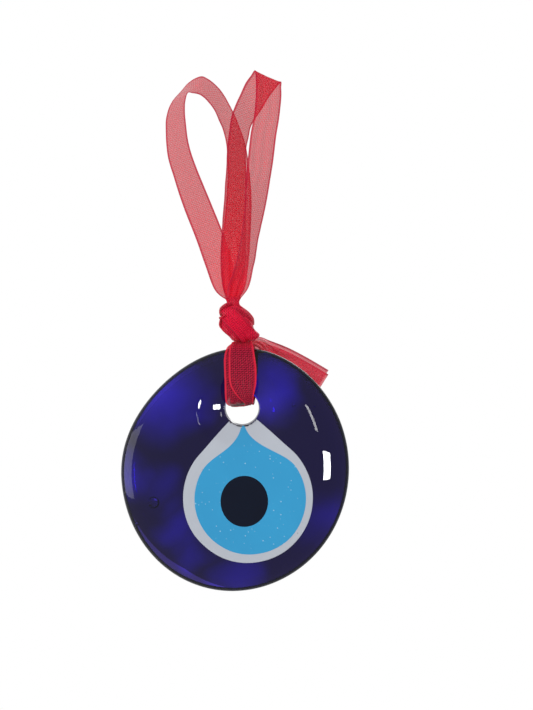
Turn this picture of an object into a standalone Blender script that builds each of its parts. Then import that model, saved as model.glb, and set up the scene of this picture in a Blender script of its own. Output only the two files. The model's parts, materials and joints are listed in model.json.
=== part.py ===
"""Glass evil eye charm, hung from one length of sheer ribbon that is wound twice and tied.

The charm hangs upright. +Z is up and the eye faces -Y. The origin is the hang point, where a hook
holds the tops of the two ribbon loops. Metres throughout: a value marked MM is scaled by MM.
"""

import math
from dataclasses import dataclass

import bmesh
import bpy
from mathutils import Vector

MM = 0.001

# Glass disc, seen from the front
DISC_WIDTH = 58.0 * MM
DISC_HEIGHT = 62.0 * MM
FRONT_RISE = 4.5 * MM  # mid plane to the crown of the front
BACK_RISE = 4.0 * MM  # mid plane to the flat back
CROWN = 0.5 * MM  # how much of the front's rise is its gentle dome
FRONT_SHOULDER = 9.0 * MM  # width of the rounded edge, front
BACK_SHOULDER = 5.0 * MM  # and back
SHOULDER_POWER = 2.5  # 2 would be an ellipse, more is squarer
TURN_STEPS = 96

# Hole for the ribbon, and the shallow dish that the poking rod left round it
HOLE_X = 1.8 * MM
HOLE_DROP = 15.7 * MM  # rim to the hole's centre
HOLE_BACK_DIAMETER = 8.4 * MM
HOLE_FRONT_DIAMETER = 10.0 * MM
DISH_WIDTH = 24.0 * MM
DISH_HEIGHT = 18.0 * MM
DISH_DEPTH = 1.6 * MM

# Fused drops of coloured glass
FUSION_GAP = 0.3 * MM  # between one glass and the next
WHITE_DEPTH = 3.2 * MM
BLUE_DEPTH = 2.1 * MM
PUPIL_DEPTH = 1.1 * MM

# Ribbon
RIBBON_WIDTH = 7.0 * MM
RIBBON_THICKNESS = 0.2 * MM
LAYER_PITCH = 0.5 * MM  # between the middles of two layers that lie together
TOUCH_GAP = 0.3 * MM

# Knot, and the gathered neck above it, down from where the loops end
NECK_X = -0.6 * MM
NECK_TOP = -57.8 * MM
NECK_HEIGHT = 0.9 * MM
NECK_WIDTH = 3.4 * MM
NECK_WAIST = 2.9 * MM
NECK_DEPTH_SHARE = 0.72
NECK_CLEARANCE = 0.7 * MM  # neck to knot, so that the knot can swing
KNOT_LENGTH = 10.8 * MM
KNOT_WIDTH = 8.8 * MM
KNOT_DEPTH = 6.6 * MM
KNOT_SLANT = math.radians(58)  # from upright, down to the right
KNOT_X = 1.05 * MM
WRAP_WIDTH = 4.4 * MM
WRAP_PROUD = 0.6 * MM

# Bail: the two windings that carry the glass
BAIL_X = 1.9 * MM
RIM_CLEARANCE = 1.15 * MM  # waist to the glass's rim, so that the disc can turn
FACE_CLEARANCE = 0.5 * MM  # glass to the middle of the nearer winding
WAIST_GATHER = 0.68
WAIST_HALF = 0.5 * MM  # knot's middle plane to the nearer winding
WAIST_PITCH = 0.75 * MM
HOLE_SHARE = 0.75  # of the hole's width, that the ribbon takes up inside it
WINDING_SHIFT = 0.35 * MM  # each winding lies this far to one side of the middle
BAIL_SEAT = 1.2 * MM  # above the hole's centre

# Derived places
NECK_BOTTOM = NECK_TOP - NECK_HEIGHT
KNOT_HALF_HEIGHT = math.hypot(
    KNOT_LENGTH / 2 * math.cos(KNOT_SLANT), KNOT_WIDTH / 2 * math.sin(KNOT_SLANT)
)
KNOT_CENTRE = Vector((KNOT_X, 0.0, NECK_BOTTOM - NECK_CLEARANCE - KNOT_HALF_HEIGHT))
WAIST_Z = KNOT_CENTRE.z - KNOT_HALF_HEIGHT - TOUCH_GAP
RIM_TOP = WAIST_Z - RIM_CLEARANCE
DISC_CENTRE = Vector((0.0, 0.0, RIM_TOP - DISC_HEIGHT / 2))
HOLE_CENTRE = Vector((HOLE_X, 0.0, RIM_TOP - HOLE_DROP))
BAIL_EDGE = BAIL_X + WINDING_SHIFT + RIBBON_WIDTH / 2
TAIL_ROOT = Vector((BAIL_EDGE, BACK_RISE, RIM_TOP))
HOLE_GATHER = min(1.0, HOLE_SHARE * HOLE_BACK_DIAMETER / RIBBON_WIDTH)


@dataclass(frozen=True)
class Rung:
    """One line across a ribbon: its middle in mm, how it is turned, and its share of full width.

    heading turns the line in the XZ plane from +X, and lean tips its far end back, in degrees.
    """

    x: float
    y: float
    z: float
    heading: float
    lean: float
    gather: float

    def middle(self) -> Vector:
        return Vector((self.x, self.y, self.z)) * MM

    def half(self) -> Vector:
        """From the middle to the far edge."""
        heading, lean = math.radians(self.heading), math.radians(self.lean)
        flat = Vector((math.cos(heading), 0.0, math.sin(heading))) * math.cos(lean)
        return (flat + Vector((0.0, math.sin(lean), 0.0))) * self.gather * RIBBON_WIDTH / 2


# The left loop goes up its left limb, twists edge-on at its shoulder and comes down on the right.
LEFT_LOOP = (
    Rung(-0.9, 0.8, -57.4, 0, 0, 0.44),
    Rung(-2.4, 1.3, -54.5, 15, 0, 0.85),
    Rung(-4.5, 2.0, -48.0, 22, 0, 1),
    Rung(-6.7, 1.4, -41.7, 19, 0, 1),
    Rung(-10.0, 0.8, -33.5, 19, -11, 1),
    Rung(-12.8, 0.3, -26.0, 19, -27, 1),
    Rung(-14.5, 0.0, -20.4, 15, -32, 1),
    Rung(-15.1, 0.0, -15.0, 6, -40, 1),
    Rung(-15.2, 0.0, -11.2, 6, -47, 1),
    Rung(-14.5, 0.0, -7.9, 0, -59, 1),
    Rung(-13.0, 0.0, -5.5, -27, -72, 1),
    Rung(-11.3, 0.0, -4.3, -75, -60, 1),
    Rung(-9.0, 0.0, -3.8, -93, -43, 1),
    Rung(-7.4, 0.0, -4.5, -101, -41, 1),
    Rung(-5.6, 0.0, -6.1, -107, -41, 1),
    Rung(-3.9, 0.2, -8.3, -115, -43, 1),
    Rung(-2.2, 0.6, -11.6, -140, -50, 1),
    Rung(-0.8, 1.2, -14.9, -163, -52, 1),
    Rung(0.4, 1.9, -19.5, -171, -46, 1),
    Rung(1.0, 2.2, -26.2, -180, -37, 1),
    Rung(1.0, 2.0, -33.3, -180, -22, 1),
    Rung(0.6, 1.6, -39.7, -180, -11, 1),
    Rung(0.1, 1.0, -47.1, -180, 0, 1),
    Rung(-0.2, 0.6, -53.9, -180, 0, 0.82),
    Rung(-0.7, 0.27, -57.4, -180, 0, 0.44),
)

# The right loop goes up on the right, folds over a slanting crease and comes down on the left.
RIGHT_LOOP = (
    Rung(-0.3, -0.8, -57.4, 0, 0, 0.44),
    Rung(0.9, -0.75, -54.5, 0, 0, 0.75),
    Rung(2.5, -2.4, -49.1, 0, 49, 1),
    Rung(3.7, -3.2, -42.7, -8, 52, 1),
    Rung(4.8, -3.2, -36.4, -8, 45, 1),
    Rung(5.5, -2.8, -30.3, -7, 33, 1),
    Rung(6.4, -2.0, -23.7, -7, 15, 0.95),
    Rung(7.2, -1.4, -16.8, -5, 0, 0.93),
    Rung(8.0, -1.2, -12.2, -3, 0, 0.92),
    Rung(8.5, -1.2, -7.1, -3, 0, 0.93),
    Rung(8.5, -1.2, -3.6, -18, 0, 0.97),
    Rung(8.3, -0.8, -1.8, -24, 0, 1.05),
    Rung(7.0, -0.4, -3.3, -32, 0, 1),
    Rung(5.6, -0.4, -5.3, -32, 12, 1),
    Rung(4.2, -0.4, -8.0, -32, 22, 1),
    Rung(2.7, -0.4, -10.8, -28, 33, 1),
    Rung(1.6, -0.5, -13.4, -20, 41, 1),
    Rung(1.0, -0.6, -16.9, 0, 44, 1),
    Rung(0.5, -0.8, -20.6, 0, 48, 1),
    Rung(0.4, -0.85, -26.7, 0, 43, 1),
    Rung(0.1, -0.8, -34.4, 0, 36, 1),
    Rung(-0.3, -0.5, -42.0, 0, 29, 1),
    Rung(-0.5, -0.2, -48.9, 0, 5, 0.92),
    Rung(-0.6, -0.1, -54.5, 0, 0, 0.75),
    Rung(-0.5, -0.27, -57.4, 0, 0, 0.44),
)

# The tail leaves the knot at its lower right, and passes behind the rim of the glass. Its rungs
# are counted from TAIL_ROOT: the bail's right edge, the flat back and the top of the rim.
TAIL = (
    Rung(0.8, -1.0, 0.8, -105, 0, 0.42),
    Rung(2.7, 0.4, -1.1, -108, 0, 0.72),
    Rung(6.6, 1.2, -3.5, -112, 0, 0.95),
    Rung(11.2, 1.5, -6.1, -119, 0, 1),
    Rung(16.3, 1.6, -9.1, -122, 0, 1),
)
TAIL_SHIFT = Vector((0.0, 0.5, -1.1)) * MM  # from the front end to the back end


@dataclass(frozen=True)
class Drop:
    """A round drop of glass drawn out to a tip, in mm from the disc's centre.

    A shoulder is the angle where the round part ends, and a pull is the flank's second handle.
    """

    centre: tuple[float, float]
    radius: float
    left_shoulder: float
    right_shoulder: float
    left_tip: tuple[float, float]
    right_tip: tuple[float, float]
    left_pull: tuple[float, float]
    right_pull: tuple[float, float]
    reach: float  # length of each flank's first handle, along the round part's tangent


WHITE = Drop((3.3, -7.4), 16.4, 138, 48, (-1.7, 11.8), (7.0, 11.5), (-4.1, 9.3), (9.4, 9.3), 2.5)
BLUE = Drop((3.9, -7.6), 14.1, 150, 35, (1.8, 11.4), (2.3, 11.4), (0.6, 4.6), (3.7, 5.2), 5.0)
PUPIL_CENTRE = (2.4, -8.2)
PUPIL_WIDTH = 12.0
PUPIL_HEIGHT = 12.9
FLANK_STEPS = 8
ROUND_STEPS = 40


def linear(red: float, green: float, blue: float) -> tuple[float, float, float, float]:
    """An sRGB colour in 0 to 255 as Blender's linear one."""
    return (*((c / 255) ** 2.2 for c in (red, green, blue)), 1.0)


def material(name: str, colour, roughness: float, metallic: float = 0.0) -> bpy.types.Material:
    made = bpy.data.materials.new(name)
    made.use_nodes = True
    shader = made.node_tree.nodes["Principled BSDF"]
    shader.inputs["Base Color"].default_value = linear(*colour)
    shader.inputs["Roughness"].default_value = roughness
    shader.inputs["Metallic"].default_value = metallic
    return made


def collection(name: str) -> bpy.types.Collection:
    made = bpy.data.collections.new(name)
    bpy.context.scene.collection.children.link(made)
    return made


def place(name: str, mesh, group, finish=None) -> bpy.types.Object:
    """Puts a mesh in a collection as an object, shaded smooth."""
    made = bpy.data.objects.new(name, mesh)
    group.objects.link(made)
    mesh.shade_smooth()
    mesh.set_sharp_from_angle(angle=math.radians(40))
    if finish is not None:
        mesh.materials.append(finish)
    return made


def as_cutter(made: bpy.types.Object) -> bpy.types.Object:
    made.hide_render = True
    made.display_type = "WIRE"
    return made


def boolean(piece, operation: str, other) -> None:
    cut = piece.modifiers.new(f"{operation.lower()} {other.name}", "BOOLEAN")
    cut.operation = operation
    cut.solver = "EXACT"
    cut.object = other


def shoulder(share: float) -> float:
    """Height of the rounded edge, as a share of its rise, at this share of its width from the rim."""
    return (1 - (1 - share) ** SHOULDER_POWER) ** (1 / SHOULDER_POWER)


def disc_profile() -> list[tuple[float, float]]:
    """(radius, height) down the outside of the round disc, from the front's middle to the back's."""
    rim = DISC_HEIGHT / 2
    edge_rise = FRONT_RISE - CROWN
    front = [(0.0, FRONT_RISE)]
    flat = rim - FRONT_SHOULDER
    for share in (0.35, 0.7, 0.9):
        front.append((flat * share, edge_rise + CROWN * (1 - (flat * share / rim) ** 2)))
    steps = 11
    for k in range(steps):
        inward = 1 - math.sin(math.pi / 2 * k / (steps - 1))
        radius = rim - FRONT_SHOULDER * inward
        front.append((radius, (edge_rise + CROWN * (1 - (radius / rim) ** 2)) * shoulder(inward)))
    back = []
    steps = 8
    for k in range(1, steps):
        inward = 1 - math.cos(math.pi / 2 * k / (steps - 1))
        back.append((rim - BACK_SHOULDER * inward, -BACK_RISE * shoulder(inward)))
    return front + back + [(0.0, -BACK_RISE)]


def turned_disc(name: str, group, finish=None) -> bpy.types.Object:
    """The disc before it is cut: a turned profile, drawn in to the disc's width."""
    shape = bmesh.new()
    points = [shape.verts.new((radius, 0.0, height)) for radius, height in disc_profile()]
    for above, below in zip(points, points[1:]):
        shape.edges.new((above, below))
    mesh = bpy.data.meshes.new(name)
    shape.to_mesh(mesh)
    shape.free()
    disc = place(name, mesh, group, finish)
    disc.location = DISC_CENTRE
    disc.rotation_euler = (math.pi / 2, 0.0, 0.0)
    disc.scale = (DISC_WIDTH / DISC_HEIGHT, 1.0, 1.0)
    screw = disc.modifiers.new("turn", "SCREW")
    screw.steps = screw.render_steps = TURN_STEPS
    screw.use_merge_vertices = True
    screw.merge_threshold = 0.00001
    return disc


def hole_cutter(name: str, group, grow: float) -> bpy.types.Object:
    """A taper through the disc, wider at the front."""
    depth = (FRONT_RISE + BACK_RISE) * 2
    slope = (HOLE_FRONT_DIAMETER - HOLE_BACK_DIAMETER) / 2 / (FRONT_RISE + BACK_RISE)
    middle = (HOLE_FRONT_DIAMETER + HOLE_BACK_DIAMETER) / 4 + grow
    shape = bmesh.new()
    bmesh.ops.create_cone(
        shape,
        cap_ends=True,
        segments=48,
        radius1=middle - slope * depth / 2,
        radius2=middle + slope * depth / 2,
        depth=depth,
    )
    mesh = bpy.data.meshes.new(name)
    shape.to_mesh(mesh)
    shape.free()
    cutter = place(name, mesh, group)
    cutter.location = HOLE_CENTRE + Vector((0.0, (BACK_RISE - FRONT_RISE) / 2, 0.0))
    cutter.rotation_euler = (math.pi / 2, 0.0, 0.0)
    return as_cutter(cutter)


def dish_cutter(group) -> bpy.types.Object:
    """The low cap of an ellipsoid, for the dish round the hole."""
    half = DISH_WIDTH / 2
    radius = (half**2 + DISH_DEPTH**2) / (2 * DISH_DEPTH)
    shape = bmesh.new()
    bmesh.ops.create_uvsphere(shape, u_segments=96, v_segments=64, radius=radius)
    mesh = bpy.data.meshes.new("dish_cutter")
    shape.to_mesh(mesh)
    shape.free()
    cutter = place("dish_cutter", mesh, group)
    cutter.location = HOLE_CENTRE - Vector((0.0, FRONT_RISE - DISH_DEPTH + radius, 0.0))
    cutter.rotation_euler = (math.pi / 2, 0.0, 0.0)
    cutter.scale = (1.0, DISH_HEIGHT / DISH_WIDTH, 1.0)
    return as_cutter(cutter)


def bezier(p0, p1, p2, p3, steps: int) -> list[Vector]:
    points = []
    for k in range(1, steps):
        t = k / steps
        u = 1 - t
        points.append(u**3 * p0 + 3 * u * u * t * p1 + 3 * u * t * t * p2 + t**3 * p3)
    return points


def drop_outline(drop: Drop) -> list[Vector]:
    """The drop's outline in mm, anticlockwise from its right tip."""
    centre = Vector(drop.centre)
    span = 360 + drop.right_shoulder - drop.left_shoulder

    def on_round(degrees: float) -> Vector:
        return Vector((math.cos(math.radians(degrees)), math.sin(math.radians(degrees))))

    arc = []
    for k in range(ROUND_STEPS + 1):
        turn = on_round(drop.left_shoulder + span * k / ROUND_STEPS)
        arc.append(centre + turn * drop.radius)
    left_handle = arc[0] + on_round(drop.left_shoulder - 90) * drop.reach
    right_handle = arc[-1] + on_round(drop.right_shoulder + 90) * drop.reach
    left = bezier(
        Vector(drop.left_tip), Vector(drop.left_pull), left_handle, arc[0], FLANK_STEPS
    )
    right = bezier(
        arc[-1], right_handle, Vector(drop.right_pull), Vector(drop.right_tip), FLANK_STEPS
    )
    return [Vector(drop.left_tip), *left, *arc, *right, Vector(drop.right_tip)]


def pupil_outline() -> list[Vector]:
    points = []
    for k in range(ROUND_STEPS):
        turn = 2 * math.pi * k / ROUND_STEPS
        points.append(
            Vector(PUPIL_CENTRE)
            + Vector((math.cos(turn) * PUPIL_WIDTH / 2, math.sin(turn) * PUPIL_HEIGHT / 2))
        )
    return points


def grown(outline: list[Vector], by: float) -> list[Vector]:
    """An anticlockwise outline moved outwards by this much, in mm."""
    moved = []
    for k, point in enumerate(outline):
        along = outline[(k + 1) % len(outline)] - outline[k - 1]
        moved.append(point + Vector((along.y, -along.x)).normalized() * by)
    return moved


def prism(name: str, outline: list[Vector], depth: float, group, finish=None) -> bpy.types.Object:
    """The outline as a plate that stands out of the front and goes this deep under it."""
    curve = bpy.data.curves.new(name, "CURVE")
    curve.dimensions = "2D"
    curve.fill_mode = "BOTH"
    proud = 1.0 * MM
    curve.extrude = (depth + proud) / 2
    spline = curve.splines.new("POLY")
    spline.use_cyclic_u = True
    spline.points.add(len(outline) - 1)
    for point, place_2d in zip(spline.points, outline):
        point.co = (place_2d.x * MM, place_2d.y * MM, 0.0, 1.0)
    guide = bpy.data.objects.new(name + "_guide", curve)
    group.objects.link(guide)
    guide.location = DISC_CENTRE - Vector((0.0, FRONT_RISE + (proud - depth) / 2, 0.0))
    guide.rotation_euler = (math.pi / 2, 0.0, 0.0)
    bpy.context.view_layer.update()
    graph = bpy.context.evaluated_depsgraph_get()
    mesh = bpy.data.meshes.new_from_object(guide.evaluated_get(graph))
    mesh.name = name
    welded = bmesh.new()
    welded.from_mesh(mesh)
    bmesh.ops.remove_doubles(welded, verts=welded.verts, dist=0.000001)
    bmesh.ops.recalc_face_normals(welded, faces=welded.faces)
    welded.to_mesh(mesh)
    welded.free()
    mesh.materials.clear()
    plate = place(name, mesh, group, finish)
    plate.matrix_world = guide.matrix_world
    bpy.data.objects.remove(guide)
    return plate


def between(first, second, third, fourth, t: float):
    """A smooth curve from the second value to the third, for t from 0 to 1."""
    return 0.5 * (
        2 * second
        + (third - first) * t
        + (2 * first - 5 * second + 4 * third - fourth) * t * t
        + (3 * second - 3 * third + fourth - first) * t**3
    )


def ribbon(name: str, rungs, group, finish, shift=Vector(), steps: int = 3) -> bpy.types.Object:
    """A strip lofted through the rungs and given the ribbon's thickness."""
    middles = [rung.middle() for rung in rungs]
    halves = [rung.half() for rung in rungs]
    last = len(rungs) - 1
    shape = bmesh.new()
    rows = []
    for k in range(last):
        around = (max(k - 1, 0), k, k + 1, min(k + 2, last))
        for j in range(steps if k < last - 1 else steps + 1):
            t = j / steps
            middle = between(*(middles[i] for i in around), t) + shift
            half = between(*(halves[i] for i in around), t)
            rows.append([shape.verts.new(middle + half * across) for across in (-1, 0, 1)])
    for below, above in zip(rows, rows[1:]):
        for side in (0, 1):
            shape.faces.new((below[side], below[side + 1], above[side + 1], above[side]))
    mesh = bpy.data.meshes.new(name)
    shape.to_mesh(mesh)
    shape.free()
    strip = place(name, mesh, group, finish)
    solid = strip.modifiers.new("thickness", "SOLIDIFY")
    solid.thickness = RIBBON_THICKNESS
    solid.offset = 0.0
    return strip


def winding(layer: int, shift: float) -> list[Rung]:
    """A U of ribbon from the waist, down the front, through the hole and up the back.

    layer 0 lies on the glass, and layer 1 lies over it, a pitch further out all the way round.
    """
    seat = HOLE_CENTRE.z + BAIL_SEAT
    front = FRONT_RISE + FACE_CLEARANCE
    back = BACK_RISE + FACE_CLEARANCE
    half_way = (RIM_TOP + seat) / 2
    slack = 0.8 * MM
    rising = (WAIST_GATHER + 1) / 2
    leaving = HOLE_GATHER + 0.03
    route = [
        (-WAIST_HALF, WAIST_Z, WAIST_GATHER),
        (-1.5 * MM, RIM_TOP + 0.4 * RIM_CLEARANCE, rising),
        (-0.66 * front, RIM_TOP - 0.7 * MM, 0.94),
        (-0.87 * front, RIM_TOP - 2.9 * MM, 1.0),
        (-0.97 * front, RIM_TOP - 5.5 * MM, 1.0),
        (-front, half_way - slack, 1.0),
        (-0.99 * front, seat + 2.6 * MM, 1.0),
        (-0.82 * front, seat + 0.7 * MM, leaving),
        (-0.48 * front, seat + 0.1 * MM, HOLE_GATHER),
        (0.0, seat, HOLE_GATHER),
        (0.6 * back, seat + 0.1 * MM, HOLE_GATHER),
        (0.95 * back, seat + 0.75 * MM, leaving),
        (1.02 * back, seat + 2.6 * MM, 1.0),
        (back, half_way - slack, 1.0),
        (back, RIM_TOP - 5.0 * MM, 1.0),
        (0.93 * back, RIM_TOP - 2.7 * MM, 1.0),
        (0.74 * back, RIM_TOP - 0.7 * MM, 0.94),
        (1.5 * MM, RIM_TOP + 0.4 * RIM_CLEARANCE, rising),
        (WAIST_HALF, WAIST_Z, WAIST_GATHER),
    ]
    rungs = []
    for k, (y, z, gather) in enumerate(route):
        before, after = route[max(k - 1, 0)], route[min(k + 1, len(route) - 1)]
        along = Vector((after[0] - before[0], after[1] - before[1])).normalized()
        pitch = LAYER_PITCH * layer
        if k in (0, len(route) - 1):
            along = Vector((0.0, math.copysign(1.0, y)))
            pitch = WAIST_PITCH * layer
        y += along.y * pitch
        z -= along.x * pitch
        rungs.append(Rung((BAIL_X + shift) / MM, y / MM, z / MM, 0, 0, gather))
    return rungs


def neck(group, finish) -> bpy.types.Object:
    """The gathered stretch between the loops and the knot, waisted and flattened."""
    shape = bmesh.new()
    steps = 6
    profile = [(0.0, NECK_HEIGHT)]
    for k in range(steps + 1):
        share = k / steps
        waist = (NECK_WIDTH - NECK_WAIST) / 2 * math.sin(math.pi * share)
        profile.append((NECK_WIDTH / 2 - waist, NECK_HEIGHT * (1 - share)))
    profile.append((0.0, 0.0))
    points = [shape.verts.new((radius, 0.0, height)) for radius, height in profile]
    for above, below in zip(points, points[1:]):
        shape.edges.new((above, below))
    mesh = bpy.data.meshes.new("gathered_neck")
    shape.to_mesh(mesh)
    shape.free()
    piece = place("gathered_neck", mesh, group, finish)
    piece.location = (NECK_X, 0.0, NECK_BOTTOM)
    piece.scale = (1.0, NECK_DEPTH_SHARE, 1.0)
    screw = piece.modifiers.new("turn", "SCREW")
    screw.steps = screw.render_steps = 24
    screw.use_merge_vertices = True
    screw.merge_threshold = 0.00001
    return piece


def knot_blank(name: str, grow: float, group, finish=None) -> bpy.types.Object:
    """The knot's rounded body, slanting down to the right."""
    shape = bmesh.new()
    bmesh.ops.create_uvsphere(shape, u_segments=32, v_segments=20, radius=1.0)
    half = Vector((KNOT_WIDTH, KNOT_DEPTH, KNOT_LENGTH)) / 2
    bmesh.ops.scale(shape, vec=half + Vector((grow, grow, grow)), verts=shape.verts)
    mesh = bpy.data.meshes.new(name)
    shape.to_mesh(mesh)
    shape.free()
    blank = place(name, mesh, group, finish)
    blank.location = KNOT_CENTRE
    blank.rotation_euler = (0.0, -KNOT_SLANT, 0.0)
    return blank


def knot_wrap(group, finish, core_cutter) -> bpy.types.Object:
    """The turn of ribbon round the knot, along its slant: a band cut from a fatter blank."""
    outer = knot_blank("knot_wrap", TOUCH_GAP + WRAP_PROUD, group, finish)
    shape = bmesh.new()
    bmesh.ops.create_cube(shape, size=1.0)
    size = Vector((KNOT_LENGTH * 2, KNOT_LENGTH * 2, WRAP_WIDTH))
    bmesh.ops.scale(shape, vec=size, verts=shape.verts)
    mesh = bpy.data.meshes.new("wrap_slab")
    shape.to_mesh(mesh)
    shape.free()
    slab = as_cutter(place("wrap_slab", mesh, core_cutter.users_collection[0]))
    slab.location = KNOT_CENTRE
    slab.rotation_euler = (0.0, math.pi / 2 - KNOT_SLANT, 0.0)
    boolean(outer, "INTERSECT", slab)
    boolean(outer, "DIFFERENCE", core_cutter)
    return outer


def main() -> None:
    for old in list(bpy.data.objects):
        bpy.data.objects.remove(old)
    parts = collection("evil_eye_charm")
    cutters = collection("cutters")

    cobalt = material("cobalt glass", (32, 28, 80), 0.05)
    opal = material("white opal glass", (172, 180, 190), 0.15)
    sky = material("light blue glass", (62, 149, 196), 0.15)
    night = material("near-black glass", (24, 29, 45), 0.08)
    organza = material("red organza", (205, 45, 65), 0.6)

    hole = hole_cutter("hole_cutter", cutters, 0.0)
    lip = hole_cutter("hole_lip_cutter", cutters, FUSION_GAP)
    dish = dish_cutter(cutters)
    blank = as_cutter(turned_disc("disc_blank", cutters))
    gap = FUSION_GAP / MM
    white, blue, pupil = drop_outline(WHITE), drop_outline(BLUE), pupil_outline()
    white_bed = prism("white_bed", grown(white, gap), WHITE_DEPTH + FUSION_GAP, cutters)
    blue_bed = prism("blue_bed", grown(blue, gap), BLUE_DEPTH + FUSION_GAP, cutters)
    pupil_bed = prism("pupil_bed", grown(pupil, gap), PUPIL_DEPTH + FUSION_GAP, cutters)
    for bed in (white_bed, blue_bed, pupil_bed):
        as_cutter(bed)

    glass = turned_disc("glass_body", parts, cobalt)
    for cutter in (dish, hole, white_bed):
        boolean(glass, "DIFFERENCE", cutter)
    white_drop = prism("white_drop", white, WHITE_DEPTH, parts, opal)
    blue_drop = prism("light_blue_drop", blue, BLUE_DEPTH, parts, sky)
    pupil_drop = prism("pupil", pupil, PUPIL_DEPTH, parts, night)
    beds = ((white_drop, blue_bed), (blue_drop, pupil_bed), (pupil_drop, None))
    for drop, bed in beds:
        boolean(drop, "INTERSECT", blank)
        if bed is not None:
            boolean(drop, "DIFFERENCE", dish)
            boolean(drop, "DIFFERENCE", lip)
            boolean(drop, "DIFFERENCE", bed)

    ribbon("left_loop", LEFT_LOOP, parts, organza)
    ribbon("right_loop", RIGHT_LOOP, parts, organza)
    neck(parts, organza)
    knot_blank("knot_core", 0.0, parts, organza)
    core_cutter = as_cutter(knot_blank("knot_cutter", TOUCH_GAP, cutters))
    knot_wrap(parts, organza, core_cutter)
    ribbon("bail_inner_winding", winding(0, WINDING_SHIFT), parts, organza)
    ribbon("bail_outer_winding", winding(1, -WINDING_SHIFT), parts, organza)
    ribbon("tail_front_end", TAIL, parts, organza, shift=TAIL_ROOT)
    ribbon("tail_back_end", TAIL, parts, organza, shift=TAIL_ROOT + TAIL_SHIFT)


if __name__ == "__main__":
    main()
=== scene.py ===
"""Looks of a glass evil eye charm that hangs from one length of red organza ribbon.

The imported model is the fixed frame: the disc, its hole, the knot and the loops stand where it says.
Everything is in metres, +Z up, with the eye facing -Y and the origin at the top of the loops.
"""

import json
import logging
import math
from collections.abc import Callable, Iterable, Sequence
from dataclasses import dataclass
from enum import Enum
from typing import Any

import bmesh
import bpy
import numpy as np
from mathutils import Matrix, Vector, noise


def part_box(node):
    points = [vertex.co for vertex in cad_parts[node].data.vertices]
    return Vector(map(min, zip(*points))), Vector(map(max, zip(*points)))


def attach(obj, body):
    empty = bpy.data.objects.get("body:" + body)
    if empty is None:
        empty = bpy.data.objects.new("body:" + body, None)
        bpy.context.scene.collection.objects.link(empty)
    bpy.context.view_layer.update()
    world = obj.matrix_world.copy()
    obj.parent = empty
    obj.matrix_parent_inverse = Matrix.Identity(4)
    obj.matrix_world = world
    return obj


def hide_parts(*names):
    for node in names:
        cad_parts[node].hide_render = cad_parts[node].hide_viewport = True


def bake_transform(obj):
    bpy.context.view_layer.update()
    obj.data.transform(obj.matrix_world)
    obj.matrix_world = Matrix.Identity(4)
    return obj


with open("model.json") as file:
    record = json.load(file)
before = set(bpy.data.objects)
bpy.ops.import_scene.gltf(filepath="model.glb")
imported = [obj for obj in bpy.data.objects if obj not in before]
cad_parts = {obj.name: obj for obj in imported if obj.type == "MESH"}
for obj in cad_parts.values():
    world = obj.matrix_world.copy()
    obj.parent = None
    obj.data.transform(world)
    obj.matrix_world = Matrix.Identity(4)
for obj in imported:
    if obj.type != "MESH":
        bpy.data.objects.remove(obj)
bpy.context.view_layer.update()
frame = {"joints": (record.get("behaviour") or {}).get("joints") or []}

LOG = logging.getLogger("evil_eye_charm")
MM = 0.001
FRONT_RISE = 4.5 * MM  # the glass's face over its middle plane, under the drops that stand proud of it
GLASS_IOR = 1.52
THREAD_MAP = "threads"  # UV map of every ribbon, in mm: across, then along
BACKLIGHT = "backlight"  # 1 where light comes through the ribbon from behind, 0 where it lies on dark glass: it blends painted lit and painted shaded colours


class Body(Enum):
    """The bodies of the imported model."""

    LOOPS = "ribbon_loops"
    NECK = "neck"
    KNOT = "knot_and_bail"
    TAIL = "tail"
    GLASS = "glass_eye"


class Slot(Enum):
    """The record's material slots."""

    COBALT = "cobalt_glass"
    WHITE = "white_glass"
    LIGHT_BLUE = "light_blue_glass"
    DARK = "dark_glass"
    RIBBON = "ribbon"


# ---------------------------------------------------------------- helpers


def linear(code: str) -> tuple[float, float, float, float]:
    """Turns an sRGB hex colour into Blender's linear one.

    Args:
        code: Six hex digits, such as "a6beca".

    Returns:
        Linear red, green, blue and an alpha of 1.
    """
    channels = [int(code[k : k + 2], 16) / 255 for k in (0, 2, 4)]
    return (*(c / 12.92 if c <= 0.04045 else ((c + 0.055) / 1.055) ** 2.4 for c in channels), 1.0)


def add_node(
    tree: bpy.types.NodeTree, kind: str, inputs: dict[int | str, Any] | None = None, **settings: Any
) -> bpy.types.Node:
    """Adds a node, sets its properties, and sets or links its sockets.

    Args:
        tree: The node tree that takes it.
        kind: Blender's name of the node's type.
        inputs: Socket name or index to a plain value, or to the output socket that feeds it.
        settings: Properties of the node itself.

    Returns:
        The new node.
    """
    node = tree.nodes.new(kind)
    for name, value in settings.items():
        setattr(node, name, value)
    for key, value in (inputs or {}).items():
        if isinstance(value, bpy.types.NodeSocket):
            tree.links.new(value, node.inputs[key])
        else:
            node.inputs[key].default_value = value
    return node


def blank_material(name: str) -> tuple[bpy.types.Material, bpy.types.Node]:
    """Makes a material with one Principled shader.

    Args:
        name: The material's name.

    Returns:
        The material and its shader node.
    """
    material = bpy.data.materials.new(name)
    material.use_nodes = True
    return material, material.node_tree.nodes["Principled BSDF"]


def smooth_path(points: np.ndarray, steps: int) -> np.ndarray:
    """Runs a Catmull-Rom curve through rows of numbers.

    Args:
        points: One row for each point that the curve passes through.
        steps: Samples for each span.

    Returns:
        The sampled rows, ends included.
    """
    last = len(points) - 1
    rows = []
    for k in range(last):
        a, b, c, d = (points[i] for i in (max(k - 1, 0), k, k + 1, min(k + 2, last)))
        for t in np.linspace(0.0, 1.0, steps, endpoint=False):
            bend = (2 * a - 5 * b + 4 * c - d) * t**2 + (3 * b - 3 * c + d - a) * t**3
            rows.append(0.5 * (2 * b + (c - a) * t + bend))
    return np.array([*rows, points[last]])


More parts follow.
